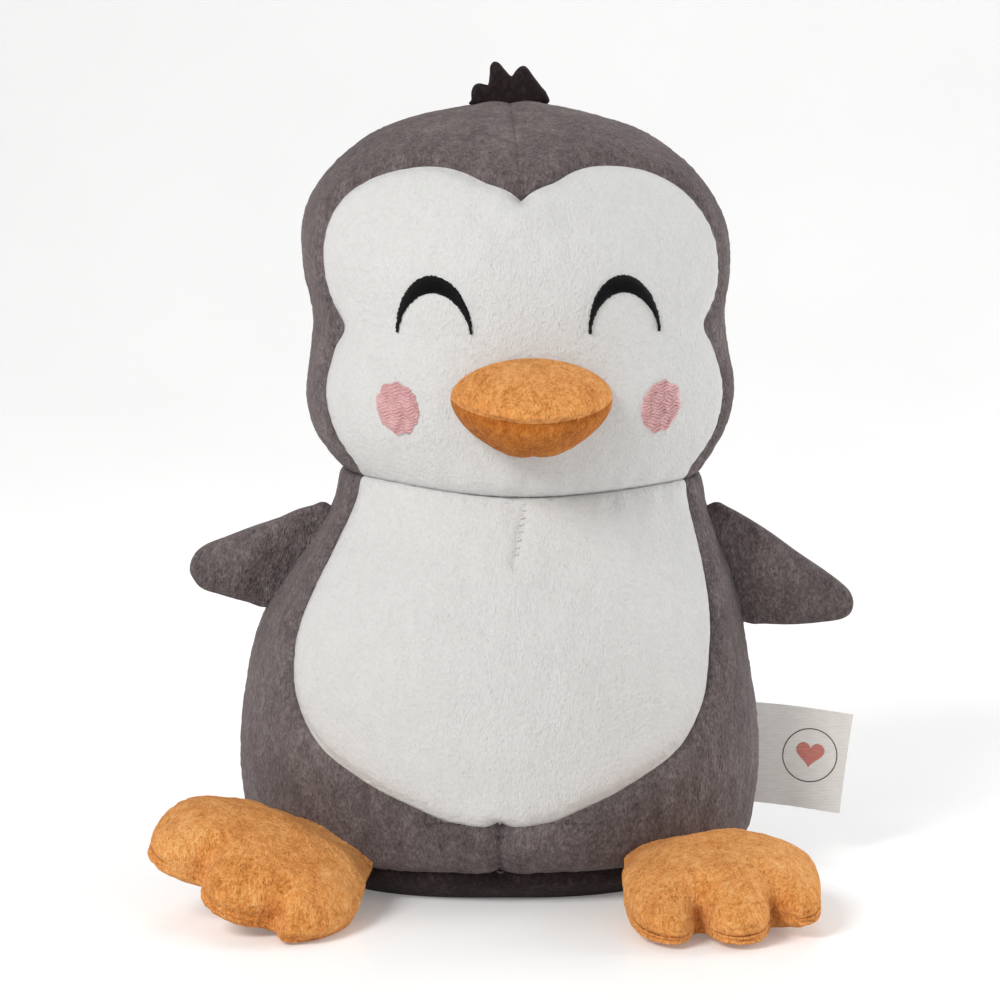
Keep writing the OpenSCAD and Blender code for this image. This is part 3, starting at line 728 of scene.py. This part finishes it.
ring_az = np.linspace(0, 360, fine(260) + 1)[:-1]
k = np.linspace(0.02, 1, fine(44))[:, None]
base_grid = to_map(joined(ring_az, mix(180, base_polar(ring_az), k)))
under = dressed(BODY, base_grid, 0, THICK)
# The base wears the darker grey copy: painted shade where the body curves under.
base = ringed("base_cloth", dressed(BODY, base_grid, 0.25), under, shade)
stands_for(base, "base_panel", "grey_pile", 0.8)
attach(base, "torso")


# ---- places on the face
def face_point(x, z, out):
    """Points on the face at x and z of the drawing, out from its cloth."""

    def outside(y):
        v = joined(x, y, z - HEAD_Z)
        return norm(v, axis=-1) > radius(HEAD, unit(v))

    y, _ = bisect(-95.0, -10.0, outside, 26)
    p = joined(x, y, z)
    p = p + unit(p - [0, 0, HEAD_Z]) * plump(HEAD, p, 0)[..., None]
    p[..., 1] -= out
    return posture(p)


def place_on_head(ob, *meaning):
    stands_for(ob, *meaning)
    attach(ob, "head")


# ---- smiling eyes
# Each eye's width, height, place and its arc's thickness, in RIBS rows of satin stitch.
EYE_W, EYE_H, EYE_X, EYE_Z, STROKE = 24, 18.5, 30.4, 185, 5.6
RIBS = 94
for side, name in SIDES:
    count = fine(560)
    a = np.linspace(0, math.pi, count)[:, None]
    rib = np.floor(np.linspace(0, RIBS - 0.001, count)).astype(int)
    rng = np.random.default_rng(7 + side)
    jut = rng.uniform(-0.16, 0.16, (RIBS, 2))[rib]
    stroke = mix(0.9, STROKE, np.sin(a) ** 1.5)
    v = np.linspace(0, 1, 15)
    edge = v * (stroke + jut[:, :1] + jut[:, 1:]) - jut[:, :1]
    x = side * (EYE_X + (EYE_W / 2 - edge) * np.cos(a))
    z = EYE_Z + (EYE_H - edge) * np.sin(a)
    ribs = 0.5 + 0.5 * np.cos(math.tau * np.linspace(0, RIBS, count) + math.pi)
    dome = np.sqrt(np.clip(1 - (2 * v - 1) ** 2, 0, 1))
    height = dome * (0.75 + 0.22 * ribs[:, None])
    ob = slab(f"eye_{name}_thread", face_point(x, z, height + 0.05), face_point(x, z, -0.5), black)
    place_on_head(ob, f"eye_{name}", "black_thread")


# ---- cheeks
# Each cheek's width, height and place, in rows of thread.
CHEEK_W, CHEEK_H, CHEEK_X, CHEEK_Z = 13.5, 16.8, 42.3, 160.5
for side, name in SIDES:
    rows = 17
    per = 9
    rng = np.random.default_rng(31 + side)
    zz = np.linspace(-1, 1, rows * per + 1)[1:-1] * 0.995
    row = np.minimum(np.floor((zz + 1) / 2 * rows), rows - 1).astype(int)
    half_w = np.sqrt(np.clip(1 - zz ** 2, 0, 1)) * CHEEK_W / 2
    end = rng.uniform(0.0, 0.5, (rows, 2))
    uu = np.linspace(-1, 1, fine(70))
    reach = half_w[:, None] + 0.25 - end[row]
    x = uu * np.where(uu < 0, reach[:, :1], reach[:, 1:])
    wave = 0.45 * np.sin(x * 1.5 + 0.9 * np.sin(row * 0.9)[:, None])
    z = zz[:, None] * CHEEK_H / 2 + wave
    ribs = 0.5 - 0.5 * np.cos((zz + 1) / 2 * rows * math.tau)
    brick = np.cos(math.tau * (x / 4.4 + rng.uniform(0, 1, rows)[row][:, None]))
    rim = np.clip(1 - uu ** 8, 0, 1) ** 0.5
    height = (0.35 + 0.55 * ribs[:, None] ** 0.6 - 0.25 * smooth((brick - 0.7) / 0.3)) * rim
    fx = side * CHEEK_X + x + side * 0.12 * z
    ob = slab(f"cheek_{name}_thread", face_point(fx, CHEEK_Z + z, height),
              face_point(fx, CHEEK_Z + z, -0.5), pink)
    place_on_head(ob, f"cheek_{name}", "pink_thread")


# ---- beak
# The beak's width, its halves' heights, how far it stands out, its mouth's height and its droop.
BEAK_W, BEAK_UP, BEAK_DOWN, BEAK_OUT, BEAK_Z = 51.5, 13, 17.5, 24, 164.6
SAG = 0.24


def beak_half(up, inset=0.0):
    """Both faces of half the beak's cloth, or the outside of its filling when inset."""
    a, b = BEAK_W / 2, BEAK_UP if up else BEAK_DOWN
    u = np.sin(np.linspace(-1, 1, fine(110)) * math.pi / 2 * 0.97)
    power = 1.9 if up else 1.75
    rim = (1 - np.abs(u) ** power) ** (1 / power)
    v = np.sin(np.linspace(0, 1, fine(60)) * math.pi / 2)
    x = np.broadcast_to(a * u[:, None], (len(u), len(v)))
    z = (1 if up else -1) * b * rim[:, None] * v
    q = ((np.abs(x) / a) ** power + (np.abs(z) / b) ** power) ** (1 / power)
    out = BEAK_OUT * np.clip(1 - q * q, 0, 1) ** 0.55
    seat = joined(x, z, out)
    lip = 0.9 if up else 0.1
    out = out - 2.0 * bell(z, 1.5) * smooth(out / 5)
    out = out + lip * bell(np.abs(z) - 3.6, 2.6) * smooth(out / 8)
    lumps = 0.5 * noise(seat, 9, 21) + 0.3 * noise(seat, 2.4, 22) + 0.16 * noise(seat, 1.3, 23)
    out = out + lumps * smooth(out / 3) * smooth(np.abs(z) / 1.5)
    pucker = 0.25 * np.sin(x * 1.35 + 2 * noise(seat, 7, 24)) * bell(z, 3.4)
    out = np.maximum(out + pucker * smooth(np.abs(z)) * smooth(out / 5), -0.4)
    if inset:
        k = 1 - inset / 16
        out = np.maximum(out - inset, 0.3)
        return face_point(x * k, BEAK_Z + z * k - SAG * out, out)
    under = out - THICK
    return (face_point(x, BEAK_Z + z - SAG * out, out),
            face_point(x, BEAK_Z + z - SAG * np.maximum(under, -0.6), np.maximum(under, -1.2)))


for up in (True, False):
    top, low = beak_half(up)
    name = "upper" if up else "lower"
    # The lower half's darker orange is painted shade under the upper half.
    ob = slab(f"beak_{name}_cloth", top, low, orange if up else deep_orange)
    place_on_head(ob, f"beak_{name}", "orange_pile" if up else "deep_orange_pile", 0.8)


# ---- tuft
tuft_low, tuft_high = [np.array(v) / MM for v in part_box("tuft_front")]
TUFT_W = (tuft_high[0] - tuft_low[0]) / 2
TUFT_H = tuft_high[2] - tuft_low[2]
TUFT_X = (tuft_high[0] + tuft_low[0]) / 2
TUFT_LINE = [
    (-1, 0), (-1, 0.2), (-0.93, 0.37), (-0.78, 0.43), (-0.58, 0.36), (-0.52, 0.62), (-0.5, 0.88),
    (-0.4, 1), (-0.26, 0.96), (-0.12, 0.8), (0.06, 0.62), (0.16, 0.74), (0.3, 0.87), (0.46, 0.86),
    (0.66, 0.6), (0.86, 0.34), (1, 0.16), (1, -0.12), (0, -0.16), (-1, -0.14),
]


def inflate(line, reach, step=0.8):
    """The height of a pillow sewn round an outline: a function of points in its plane."""
    low, high = line.min(0) - 2 * step, line.max(0) + 2 * step
    nx, ny = [int(v) + 2 for v in (high - low) / step]
    gx, gy = low[0] + step * np.arange(nx), low[1] + step * np.arange(ny)
    gx, gy = np.meshgrid(gx, gy, indexing="ij")
    dist, _ = nearest(joined(gx, gy), line, True)
    a, b = line, np.roll(line, -1, 0)
    inside = np.zeros(gx.shape, bool)
    for (x0, y0), (x1, y1) in zip(a, b):
        cross = (y0 > gy) != (y1 > gy)
        inside ^= cross & (gx < (x1 - x0) * (gy - y0) / ((y1 - y0) or 1e-9) + x0)
    phi = np.zeros(gx.shape)
    even = (np.add.outer(np.arange(nx), np.arange(ny)) % 2).astype(bool)
    k = step * step
    for i in range(500):
        for colour in (even, ~even):
            around = np.zeros_like(phi)
            around[1:-1, 1:-1] = phi[2:, 1:-1] + phi[:-2, 1:-1] + phi[1:-1, 2:] + phi[1:-1, :-2]
            new = (around + k) / (4 + k / reach ** 2)
            on = inside & colour
            phi[on] += 1.7 * (new[on] - phi[on])
    ratio = np.where(inside & (dist > 2 * step), phi / np.maximum(dist, 1e-6), 0)
    known = ratio > 0
    for i in range(24):
        total, count = np.zeros_like(ratio), np.zeros_like(ratio)
        for dx, dy in ((1, 0), (-1, 0), (0, 1), (0, -1)):
            total += np.roll(np.where(known, ratio, 0), (dx, dy), (0, 1))
            count += np.roll(known, (dx, dy), (0, 1))
        grow = ~known & (count > 0)
        ratio[grow] = total[grow] / count[grow]
        known |= grow

    def height(p):
        d, along = nearest(p, line, True)
        u = np.clip((p - low) / step, 0, [nx - 2, ny - 2])
        i = u.astype(int)
        f = u - i
        r = 0
        for corner in np.ndindex(2, 2):
            weight = np.prod(np.where(corner, f, 1 - f), -1)
            r = r + weight * ratio[tuple(np.moveaxis(i + corner, -1, 0))]
        return np.sqrt(np.maximum(2 * r * d, 0)), d, along

    return height


def pad_rings(line, middle, rows):
    """Rings of points from a middle out to an outline, close together at its edge."""
    k = np.sin(np.linspace(0.03, 1, rows) * math.pi / 2)
    return mix(np.array(middle), line, k[:, None, None])


tuft_line = curve(np.array(TUFT_LINE) * [TUFT_W, TUFT_H], 8, True)
tuft_line = spread(tuft_line, fine(150), True)
tuft_height = inflate(tuft_line, 2.6, 0.4)
rings = pad_rings(tuft_line, (-0.1, 0.25 * TUFT_H), fine(22))
h, d, along = tuft_height(rings)
for way, name in ((-1, "front"), (1, "back")):
    p = joined(rings[..., 0] + TUFT_X, 0.0, rings[..., 1] + tuft_low[2])
    lumps = 0.1 * noise(p, 1.6, 41) + 0.07 * noise(p + [0, 9 * way, 0], 1.0, 42)
    thick = 0.08 + np.minimum(h, 2.2) * 0.95 + lumps * smooth(d / 0.8)
    outer = p + [0, way, 0] * thick[..., None] + [0, 0.1 * way, 0]
    inner = p + [0, way * 0.04, 0]
    ob = ringed(f"tuft_{name}_cloth", outer, inner, velvet)
    stands_for(ob, f"tuft_{name}", "dark_velvet")
    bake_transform(ob)


# ---- pads: wings and feet
def joint_frame(name):
    j = JOINTS[name]
    return np.array(j["pos_m"]) / MM, unit(j["axis"])


def filled(name, top, low, k, loose):
    """Simulates a sewn pad's cloth under the pressure of its filling, and gives each side's drift.

    The pad is simulated as a coarse closed skin, drawn some times larger so that the cloth
    settings suit it. Where loose is 0 the skin is held, as it is at its sewn root.
    """
    grow, most, frames = 5.0, 2.2, 20  # size, drift allowed in mm, simulated frames
    rows, cols = top.shape[:2]
    ri = np.unique(np.searchsorted(k, np.linspace(k[0], 1, 15)).clip(0, rows - 1))
    step = max(cols // 72, 1)
    ci = np.arange(0, cols - step + 1, step)
    skin = np.concatenate([top[ri][:, ci], low[ri[::-1]][1:, ci]])
    free = np.concatenate([loose[ri][:, ci], loose[ri[::-1]][1:, ci]])
    n = skin[..., 0].size
    verts = np.vstack([[skin[0].mean(0)], skin.reshape(-1, 3), [skin[-1].mean(0)]])
    c = len(ci)
    faces = [[0, 1 + j, 1 + (j + 1) % c] for j in range(c)]
    faces += grid_faces(len(skin), c, 1, False, True)
    faces += [[n + 1, n - c + 1 + (j + 1) % c, n - c + 1 + j] for j in range(c)]
    middle = verts.mean(0)
    ob = outward(mesh_object(f"{name}_sim", (verts - middle) * grow, faces))
    before = np.array([v.co for v in ob.data.vertices])
    held = ob.vertex_groups.new(name="held")
    for i, w in enumerate(free.reshape(-1)):
        held.add([i + 1], float(1 - w), "REPLACE")
    cloth = ob.modifiers.new("cloth", "CLOTH")
    cloth.settings.vertex_group_mass = "held"
    cloth.settings.use_pressure = True
    cloth.settings.uniform_pressure_force = 4
    cloth.settings.effector_weights.gravity = 0
    cloth.point_cache.frame_start, cloth.point_cache.frame_end = 1, frames
    for frame_no in range(1, frames + 1):
        scene.frame_set(frame_no)
    done = ob.evaluated_get(bpy.context.evaluated_depsgraph_get()).to_mesh()
    move = np.array([v.co for v in done.vertices]) - before
    bpy.data.objects.remove(ob, do_unlink=True)
    scene.frame_set(1)
    move = (move / MM / grow)[1:-1].reshape(len(skin), c, 3)
    length = norm(move, axis=-1, keepdims=True)
    move = move * np.minimum(1, most / np.maximum(length, 1e-9)) * free[..., None]
    drifts = []
    for part in (move[: len(ri)], move[len(ri) - 1:][::-1]):
        # From the coarse rings back to the cloth's own, then smoothed along both ways.
        full = np.concatenate([part, part[:, :1]], 1)
        for axis, count, at in ((1, cols, np.append(ci, cols)), (0, rows, ri)):
            full = np.apply_along_axis(lambda v: np.interp(np.arange(count), at, v), axis, full)
        for _ in range(6):
            full = 0.5 * full + 0.25 * (np.roll(full, 1, 1) + np.roll(full, -1, 1))
            full[1:-1] = 0.5 * full[1:-1] + 0.25 * (full[2:] + full[:-2])
        drifts.append(full)
    return drifts


def pad_cloths(name, line, middle, reach, place, shape, rows, halves, material, slot_name,
               fill, groove, hold, settle=None):
    """Two cloths sewn round an outline and filled: shape gives each side's height, groove how
    far their seam sinks between them, and hold where the root lets go of them."""
    rings = pad_rings(line, middle, rows)
    h, d, along = inflate(line, reach)(rings)
    inward = unit(np.array(middle) - line)
    spots = rings + inward * (groove * bell(d, 0.6))[..., None]
    loose = smooth((rings[..., 0] - hold) / 10)
    k = norm(rings - middle, axis=-1)
    k = (k / k[-1]).mean(1)
    high = {way: shape(rings, h, d, along, way) for way in (1, -1)}
    skins = [place(rings, way * high[way]) for way in high]
    drift = dict(zip(high, filled(name, *skins, k, loose)))
    under = rings + inward * (3.4 * bell(d, 3))[..., None]
    sides = []
    for way, half in halves:
        outer, inner, core = [
            place(at, way * np.maximum(high[way] - deep, least)) + drift[way]
            for at, deep, least in ((spots, 0, 0), (spots, THICK, 0.02), (under, THICK + 0.6, 0.01))
        ]
        if settle:
            outer, inner = settle(outer, inner, way)
            core = settle(core, core, way)[0]
        sides.append(core[::2] if len(core) % 2 else core[1::2])
        ob = ringed(f"{name}_{half}_cloth", outer, inner, material)
        stands_for(ob, f"{name}_{half}", slot_name, fill)
        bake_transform(ob)
    ob = ringed(f"{name}_fill", *sides, fibre)
    stands_for(ob, f"{name}_stuffing", "stuffing")
    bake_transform(ob)


def wrinkled(p, tall, d, along, shift, lump, fold, pucker, step, fade, pile, seed):
    """A pad's height with its wrinkles, the puckers along its seam and its pile."""
    q = joined(p[..., 0], p[..., 1], 0.0) + shift
    wrinkle = fold * (noise(q, lump, seed) + 0.5 * noise(q, lump / 2, seed + 1))
    wave = np.sin(math.tau * along / step + 2 * noise(q, 9, seed + 2))
    folds = (wrinkle + pucker * wave * bell(d, fade)) * smooth(d / 2.5)
    return np.maximum(tall + folds + pile * nap_noise(q, seed + 3) * smooth(d / 0.8), 0.05)


# Each wing's outline, as distances away from its root and down along it.
WING = {
    "left": [
        (-8, -15), (-0.5, -18.5), (3.5, -15.5), (10.5, -7.6), (16, -0.5), (22, 8.3), (27.8, 16.6),
        (32.6, 24.5), (33.6, 29), (31.2, 33.5), (26.7, 34.8), (19, 33.4), (11.5, 31.4), (3, 28.4),
        (-4, 25.4), (-10, 18), (-10, 0),
    ],
    "right": [
        (-8, -17), (0, -20.3), (3.5, -17), (7.2, -12.9), (11.2, -7), (18, 1.4), (23, 8.3),
        (27.6, 14.8), (29, 20), (27.4, 24.8), (24.2, 27.2), (19.6, 28.5), (11.5, 26.4), (4.5, 24.4),
        (-2, 22.6), (-9, 16), (-9, 0),
    ],
}
for side, name in SIDES:
    root, axis = joint_frame(f"wing_{name}_swing")
    down = axis if axis[2] < 0 else -axis
    away = np.array([-down[2] * side, 0, down[0] * side])
    line = spread(curve(WING[name], 8, True), fine(220), True)

    def place(p, out):
        y = root[1] + out - 2.4 * smooth((p[..., 0] - 8) / 28) ** 2
        at = root + p[..., :1] * away + p[..., 1:] * down
        return joined(at[..., 0], y, at[..., 2])

    def shape(p, h, d, along, way):
        flat = mix(0.42, 1, smooth((p[..., 0] + 2) / 15))
        shift = [50 * side, 0, 30 * way]
        return wrinkled(p, h * flat, d, along, shift, 12, 0.5, 0.28, 5.3, 4, 0.3, 51)

    pad_cloths(
        f"wing_{name}", line, (13, 9), 5.6, place, shape, fine(46), ((-1, "front"), (1, "back")),
        grey, "grey_pile", 0.75, 1.2, 6,
    )

# Each foot's toes and sides, as distances ahead of its root and outwards.
FOOT = {
    "left": [
        (18, -27.6), (33, -31.6), (49, -33.6), (59.5, -30.4), (65.4, -24.5), (62.5, -18.5),
        (56, -13.4), (65, -10.8), (71.5, -4.7), (70.5, 3), (64.5, 8.6), (57, 12), (62, 16),
        (64, 21.5), (59, 27), (46, 31.3), (32, 31.8), (18, 30), (6, 25),
    ],
    "right": [
        (18, -30.5), (31.6, -36), (44, -37.8), (54, -36), (61, -30.5), (60.5, -25), (56.5, -19.4),
        (62, -13.2), (65.5, -5), (63.5, 3), (58.5, 7.6), (54.5, 10), (57.6, 16), (58.5, 24),
        (53.5, 31.6), (42, 34.8), (30, 34.6), (18, 32), (6, 26),
    ],
}
# Two webs between the toes, where the cloth stays full, and how full.
WEBS = {"left": ((49, -13), (50, 11.5), 3.0), "right": ((49, -18), (46, 9), 0.8)}
# The point that each foot's rings close round.
FOOT_MIDDLE = (17, -1)
# Each foot's sewn root: its place, then its heading, pitch and roll in degrees.
FOOT_ROOT = {"left": ((62, -51.5, 16), 13, 9, 5), "right": ((61.5, -49.5, 21), 27, 8, 23)}
for side, name in SIDES:
    where, *turns = FOOT_ROOT[name]
    ca, cp, cr = np.cos(np.radians(turns))
    sa, sp, sr = np.sin(np.radians(turns))

    def place(p, out):
        """Points of the foot's own plane, out from it on either side, on the toy."""
        w = p[..., 1] * cr - out * sr
        up = p[..., 1] * sr + out * cr
        ahead = p[..., 0] * cp + up * sp
        droop = smooth((34 - p[..., 0]) / 34) * smooth((p[..., 1] + 6) / 34)
        z = -p[..., 0] * sp + up * cp - 5 * droop
        return joined(side * (where[0] + ahead * sa + w * ca), where[1] - ahead * ca + w * sa,
                      where[2] + z)

    def reach_back(w):
        """Where the foot's plane meets the body, w out from its middle."""

        def within(u):
            v = place(joined(u, w), 0.0) - [0, 0, BODY_Z]
            return norm(v) - radius(BODY, unit(v)) < 3.2

        return float(bisect(-40.0, 30.0, within, 14)[1])

    ends = [(w, reach_back(w)) for w in (16, 8, 0, -12, -24.5)]
    tucked = [(u - 14, w * 0.88) for w, u in ends]
    sole_line = spread(curve(FOOT[name] + tucked, 8, True), fine(300), True)
    # Filling the foot draws its outline in, so it is cut a little larger.
    ease = 1.6 * smooth((sole_line[:, :1] - 12) / 10)
    sole_line = sole_line + ease * unit(sole_line - FOOT_MIDDLE)
    root, axis = joint_frame(f"foot_{name}_lift")
    normal = unit(place(np.zeros(2), 1.0) - place(np.zeros(2), 0.0))
    out_way = unit(np.cross(axis, normal))
    if out_way @ (place(np.array([30.0, 0.0]), 0.0) - root) < 0:
        out_way = -out_way
    line_at = np.array([(u, w) for w, u in ends])

    def shape(p, h, d, along, way):
        back = np.interp(p[..., 1], line_at[::-1, 1], line_at[::-1, 0])
        root = mix(0.62, 0.36, smooth((p[..., 1] + 20) / 40))
        flat = mix(root, 1, smooth((p[..., 0] - back + 2) / 20))
        *spots, full = WEBS[name]
        web = sum(np.exp(-((p[..., 0] - u) ** 2 + (p[..., 1] - w) ** 2) / 90) for u, w in spots)
        h = np.hypot(h, full * web * smooth(d / 6))
        tall = h * flat * (1.08 if way > 0 else 0.66)
        shift = [90 * side, 0, 40 * way]
        return wrinkled(p, tall, d, along, shift, 14, 0.6, 0.34, 5.0, 4.2, 0.32, 61)

    def settle(outer, inner, way):
        """The foot's underside flattens where it meets the floor."""
        for pts, low in ((outer, 0.35), (inner, 0.35 + THICK if way < 0 else 2.6)):
            z = pts[..., 2]
            soft = 3.0
            under = np.clip((low + soft - z) / soft, 0, None)
            pts[..., 2] = np.where(z < low + soft, low + soft * np.exp(-under), z)
        return outer, inner

    pad_cloths(
        f"foot_{name}", sole_line, FOOT_MIDDLE, 9.4, place, shape, fine(56),
        ((1, "upper"), (-1, "sole")), orange, "orange_pile",
        0.85, 2.0, 12, settle,
    )


# ---- stuffing under the cloth
def filling(name, form, low, high, node, body):
    """Loose fibre that fills a form inside its cloth."""
    a = np.linspace(0, 360, fine(120) + 1)[:-1]
    d = direction(a, np.linspace(0.5, 179.5, fine(80))[:, None])
    pts = d * (radius(form, d) - 4.2)[..., None] + [0, 0, form[0]]
    pts = pts + d * (0.8 * noise(pts, 12, 81) + 0.5 * noise(pts, 5, 82))[..., None]
    pts[..., 2] = np.clip(pts[..., 2], low, high)
    rows, cols = pts.shape[:2]
    n = rows * cols
    faces = grid_faces(rows, cols, 0, False, True)
    faces += [list(range(cols)), list(range(n - 1, n - cols - 1, -1))]
    ob = outward(mesh_object(name, posture(pts).reshape(-1, 3), faces, fibre))
    stands_for(ob, node, "stuffing")
    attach(ob, body)


filling("head_fill", HEAD, NECK_Z + 6, 400, "head_stuffing", "head")
filling("body_fill", BODY, 3.2, NECK_Z - 6, "body_stuffing", "torso")
fills = [beak_half(up, 2.2)[:, ::2] for up in (True, False)]
core = np.concatenate([fills[1][:, ::-1], fills[0][:, 1:]], 1)
low = core.copy()
low[..., 1] = core[..., 1].max() - 1.0
ob = slab("beak_fill", core, low, fibre)
place_on_head(ob, "beak_stuffing", "stuffing")


# ---- label
label_root, label_axis = joint_frame("label_swing")
# The label's height, how much of it shows, how much is sewn into the seam, and its print's place.
LABEL_H, LABEL_L, TUCK = 34.5, 29.5, 4.0
PRINT_AT = [17.0, 1.0]
away = np.array([label_axis[2], 0, -label_axis[0]])


def label_point(u, v, out):
    """A point of the label: u away from the seam, v up along it, out to its front."""
    s = smooth(u / 30)
    bow = 1.5 * np.sin(u / 30 * math.pi * 0.9) * (1 + 0.25 * v / 17)
    bow = bow - 1.4 * s * (v / 17) ** 2 - 1.2 * s
    p = label_root + u[..., None] * away + v[..., None] * label_axis
    return p + joined(0.0, bow - out, 0.0)


u = np.linspace(-TUCK, LABEL_L, fine(90))[:, None]
v = np.linspace(-LABEL_H / 2, LABEL_H / 2, fine(90))[None, :]
label = slab("label_cloth", label_point(u, v, 0.3), label_point(u, v, -0.3), label_cloth)
stands_for(label, "label", "label_satin")
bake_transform(label)

t = np.linspace(0, math.tau, 121)[:-1]
hx = 16 * np.sin(t) ** 3
hz = 13 * np.cos(t) - 5 * np.cos(2 * t) - 2 * np.cos(3 * t) - np.cos(4 * t)
heart = joined(hx, hz + 2) * 0.3
k = np.linspace(0.04, 1, 14)[:, None, None]
hoop = joined(np.sin(t), np.cos(t)) * np.array([9.0, 9.35])[:, None, None]
hoop = np.concatenate([hoop, hoop[:, :1]], 1)
for name, make, flat, out, ink in (("label_heart", ringed, heart * k, 0.38, print_ink),
                                   ("label_hoop", slab, hoop, 0.37, grey_thread)):
    u, v = np.moveaxis(flat + PRINT_AT, -1, 0)
    ob = make(name, label_point(u, v, out), label_point(u, v, 0.24), ink)
    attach(ob, "label")


# ---- stitches
def stitches(name, form, line, step, length, material, body, sink, seed, thick=0.26):
    """Short stitches across a seam, each a bowed tube of thread."""
    rng = np.random.default_rng(seed)
    at = run_along(on_form(form, line))
    verts, faces = [], []
    # Each tube's nine rings of six points, thinner towards its ends.
    j, w = np.arange(9), np.linspace(-1, 1, 9)[:, None]
    a = np.linspace(0, math.tau, 7)[:-1, None]
    r = thick * np.sqrt(np.maximum(1 - (np.abs(j - 4) / 4.3) ** 4, 0.05))[:, None, None]
    for i in range(int(at[-1] / step)):
        s = (i + 0.5) * step + rng.uniform(-0.1, 0.1) * step
        q = np.array([np.interp(s, at, line[:, k]) for k in (0, 1)])
        ahead = np.array([np.interp(s + 1, at, line[:, k]) for k in (0, 1)])
        p0, p1 = on_form(form, q[None])[0], on_form(form, ahead[None])[0]
        up = unit(p0 - [0, 0, form[0]])
        run = unit(p1 - p0)
        over = unit(np.cross(up, run))
        slant = rng.uniform(-0.25, 0.25)
        half = length / 2 * rng.uniform(0.85, 1.1)
        bow = up * (sink + 0.75 * (1 - w * w) - 0.35)
        centre = p0 + over * w * half + run * slant * w * half + bow
        way = unit(centre[np.minimum(j + 1, 8)] - centre[np.maximum(j - 1, 0)])
        x = unit(np.cross(way, run))
        spoke = np.cos(a) * x[:, None] + np.sin(a) * np.cross(way, x)[:, None]
        n = len(verts)
        verts.extend((centre[:, None] + r * spoke).reshape(-1, 3))
        faces += grid_faces(9, 6, n, False, True)
        faces += [[n + m for m in range(5, -1, -1)], [n + 48 + m for m in range(6)]]
    ob = outward(mesh_object(name, posture(np.array(verts)), faces, material))
    if body:
        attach(ob, body)
    else:
        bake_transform(ob)


stitches("chin_thread", HEAD, chin[: int(len(chin) * 0.9)], 2.6, 1.5, white_thread,
         None, -0.45, 5, 0.16)
stitches("throat_thread", BODY, throat[6:], 2.4, 1.7, white_thread,
         None, -0.4, 6, 0.16)
stitches("front_thread", BODY, front_line, 3.0, 2.2, grey_thread, "torso", -0.6, 7)
stitches("back_thread", BODY, back_line[20:], 3.6, 2.6, grey_thread, "torso", -0.6, 8)


# ---- floor, backdrop and light
def backdrop():
    """A pale floor that curves up into a wall behind the toy."""
    run = [(y, 0.0) for y in (-7.0, -2.2, -0.9, 0.3, 1.0)]
    bend = np.linspace(0.1, math.pi / 2, 14)
    run += [(1.0 + 0.8 * math.sin(a), 0.8 - 0.8 * math.cos(a)) for a in bend]
    run += [(1.8, 2.6)]
    xs = np.linspace(-4.5, 4.5, 15)
    grid = np.array([[(x, y, z) for x in xs] for y, z in run]) / MM
    ob = mesh_object("floor", grid.reshape(-1, 3), grid_faces(len(run), len(xs), 0, True))
    m, sh, tc = tree("pale floor")
    grain = tex_noise(tc, 6, detail=3.0)
    paper = ramp(grain, [(0.2, (0.86, 0.86, 0.86)), (0.8, (0.9, 0.9, 0.9))])
    feed(sh, {"Base Color": paper, "Roughness": 0.32, "Specular IOR Level": 0.3,
              "Emission Color": (1, 1, 1, 1), "Emission Strength": 0.15})
    ob.data.materials.append(m)


backdrop()
world = bpy.data.worlds.new("studio")
scene.world = world
world.use_nodes = True
feed(world.node_tree.nodes["Background"], {"Color": (1, 1, 1, 1), "Strength": 0.36})


def soft_light(name, at, aim, size, power, colour=(1, 1, 1)):
    data = bpy.data.lights.new(name, "AREA")
    data.shape = "DISK"
    data.size = size
    data.energy = power
    data.color = colour
    ob = placed(name, data)
    ob.location = at
    ob.rotation_euler = (Vector(aim) - Vector(at)).to_track_quat("-Z", "Y").to_euler()


soft_light("key", (-1.0, -1.2, 1.25), (0, 0, 0.13), 0.8, 26, (1, 0.99, 0.975))
soft_light("fill", (1.3, -1.1, 0.7), (0, 0, 0.12), 1.2, 4)
soft_light("top", (-0.1, 0.6, 1.6), (0, 0, 0.15), 1.0, 4.5)
soft_light("rim", (1.5, 0.35, 0.55), (0, 0, 0.12), 0.9, 13)
